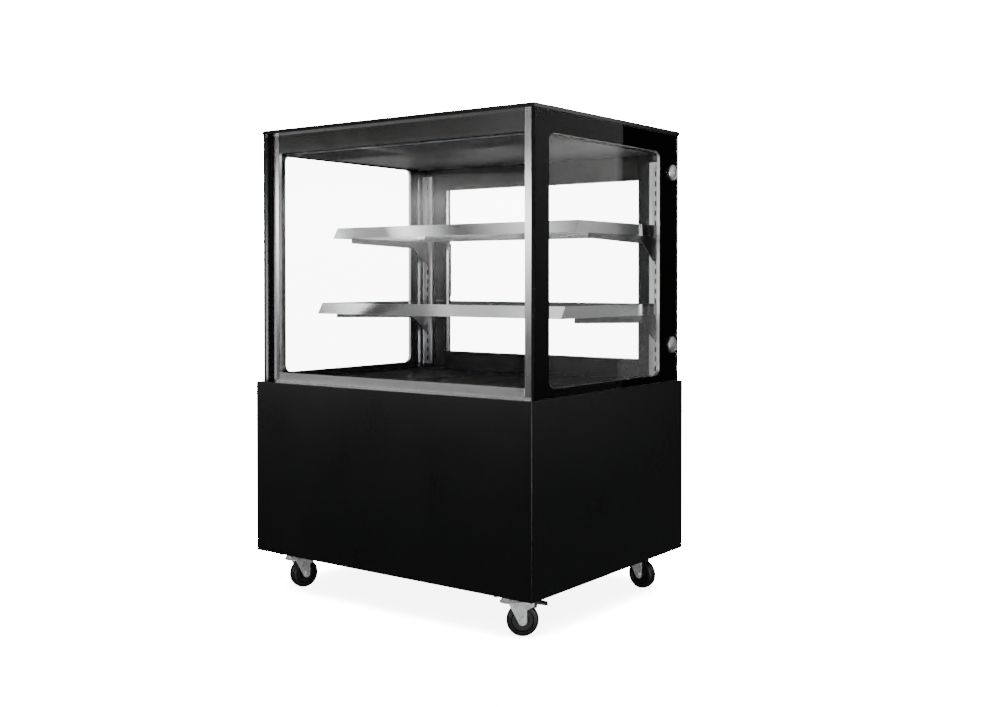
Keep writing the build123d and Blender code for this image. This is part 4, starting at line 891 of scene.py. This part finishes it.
def makeSurround():
    world = bpy.data.worlds.new("studioWorld")
    world.use_nodes = True
    bpy.context.scene.world = world
    tree = world.node_tree
    tree.nodes.clear()
    levels = []
    for key in ("ambience", "mirroredAir", "backdrop"):
        level = addNode(tree, "ShaderNodeBackground")
        level.inputs["Color"].default_value = (1, 1, 1, 1)
        level.inputs["Strength"].default_value = studio[key]
        levels.append(level)
    path = addNode(tree, "ShaderNodeLightPath")
    lower = addNode(tree, "ShaderNodeMixShader")
    tree.links.new(path.outputs["Is Glossy Ray"], lower.inputs[0])
    tree.links.new(levels[0].outputs[0], lower.inputs[1])
    tree.links.new(levels[1].outputs[0], lower.inputs[2])
    whole = addNode(tree, "ShaderNodeMixShader")
    tree.links.new(directSight(tree), whole.inputs[0])
    tree.links.new(lower.outputs[0], whole.inputs[1])
    tree.links.new(levels[2].outputs[0], whole.inputs[2])
    output = addNode(tree, "ShaderNodeOutputWorld")
    tree.links.new(whole.outputs[0], output.inputs["Surface"])


def makeSoftBox(name, corners, power, least, along, band, steep):
    mesh = bpy.data.meshes.new(name)
    mesh.from_pydata(corners, [], [(0, 1, 2, 3)])
    card = bpy.data.objects.new(name, mesh)
    bpy.context.collection.objects.link(card)
    material = bpy.data.materials.new(name)
    material.use_nodes = True
    tree = material.node_tree
    tree.nodes.clear()
    place = addNode(tree, "ShaderNodeTexCoord")
    reach = addNode(tree, "ShaderNodeVectorMath", operation="DOT_PRODUCT")
    tree.links.new(place.outputs["Object"], reach.inputs[0])
    reach.inputs[1].default_value = along
    low, peak, high = band
    rise = mapRange(tree, reach.outputs["Value"], 0.0, 1.0, low, peak)
    fall = mapRange(tree, reach.outputs["Value"], 1.0, 0.0, peak, high)
    both = addNode(tree, "ShaderNodeMath", operation="MULTIPLY")
    tree.links.new(rise, both.inputs[0])
    tree.links.new(fall, both.inputs[1])
    curve = addNode(tree, "ShaderNodeMath", operation="POWER")
    curve.inputs[1].default_value = steep
    tree.links.new(both.outputs[0], curve.inputs[0])
    level = mapRange(tree, curve.outputs[0], least, power)
    glow = addNode(tree, "ShaderNodeEmission")
    if name.startswith("canopy"):  # these glow on their face only, not up at the ceiling
        side = addNode(tree, "ShaderNodeNewGeometry")
        level = mapRange(tree, side.outputs["Backfacing"], level, 0.0)
    tree.links.new(level, glow.inputs["Strength"])
    clear = addNode(tree, "ShaderNodeBsdfTransparent")
    mix = addNode(tree, "ShaderNodeMixShader")
    tree.links.new(directSight(tree), mix.inputs[0])
    tree.links.new(glow.outputs[0], mix.inputs[1])
    tree.links.new(clear.outputs[0], mix.inputs[2])
    output = addNode(tree, "ShaderNodeOutputMaterial")
    tree.links.new(mix.outputs[0], output.inputs["Surface"])
    mesh.materials.append(material)
    card.visible_diffuse = False
    card.visible_shadow = False


# two broad lights for the matt surfaces, unseen in mirrors and through glass
fillLights = {
    "leftFill": {"place": (-2.6, -1.6, 2.6), "aim": (0, 0, 0.8), "size": 1.8, "power": 26.0},
    "rightFill": {"place": (3.0, -1.4, 2.6), "aim": (0, 0, 0.8), "size": 1.6, "power": 18.2},
}


def makeFillLight(name, place, aim, size, power):
    data = bpy.data.lights.new(name, "AREA")
    data.energy = power
    data.size = size
    light = bpy.data.objects.new(name, data)
    light.location = place
    light.rotation_euler = (Vector(aim) - Vector(place)).to_track_quat("-Z", "Y").to_euler()
    bpy.context.collection.objects.link(light)
    light.visible_camera = False
    light.visible_glossy = False
    light.visible_transmission = False


makeFloor()
makeSurround()
for name, box in softBoxes.items():
    makeSoftBox(name, **box)
for name, light in fillLights.items():
    makeFillLight(name, **light)
print("studio lit with", len(softBoxes), "soft boxes")
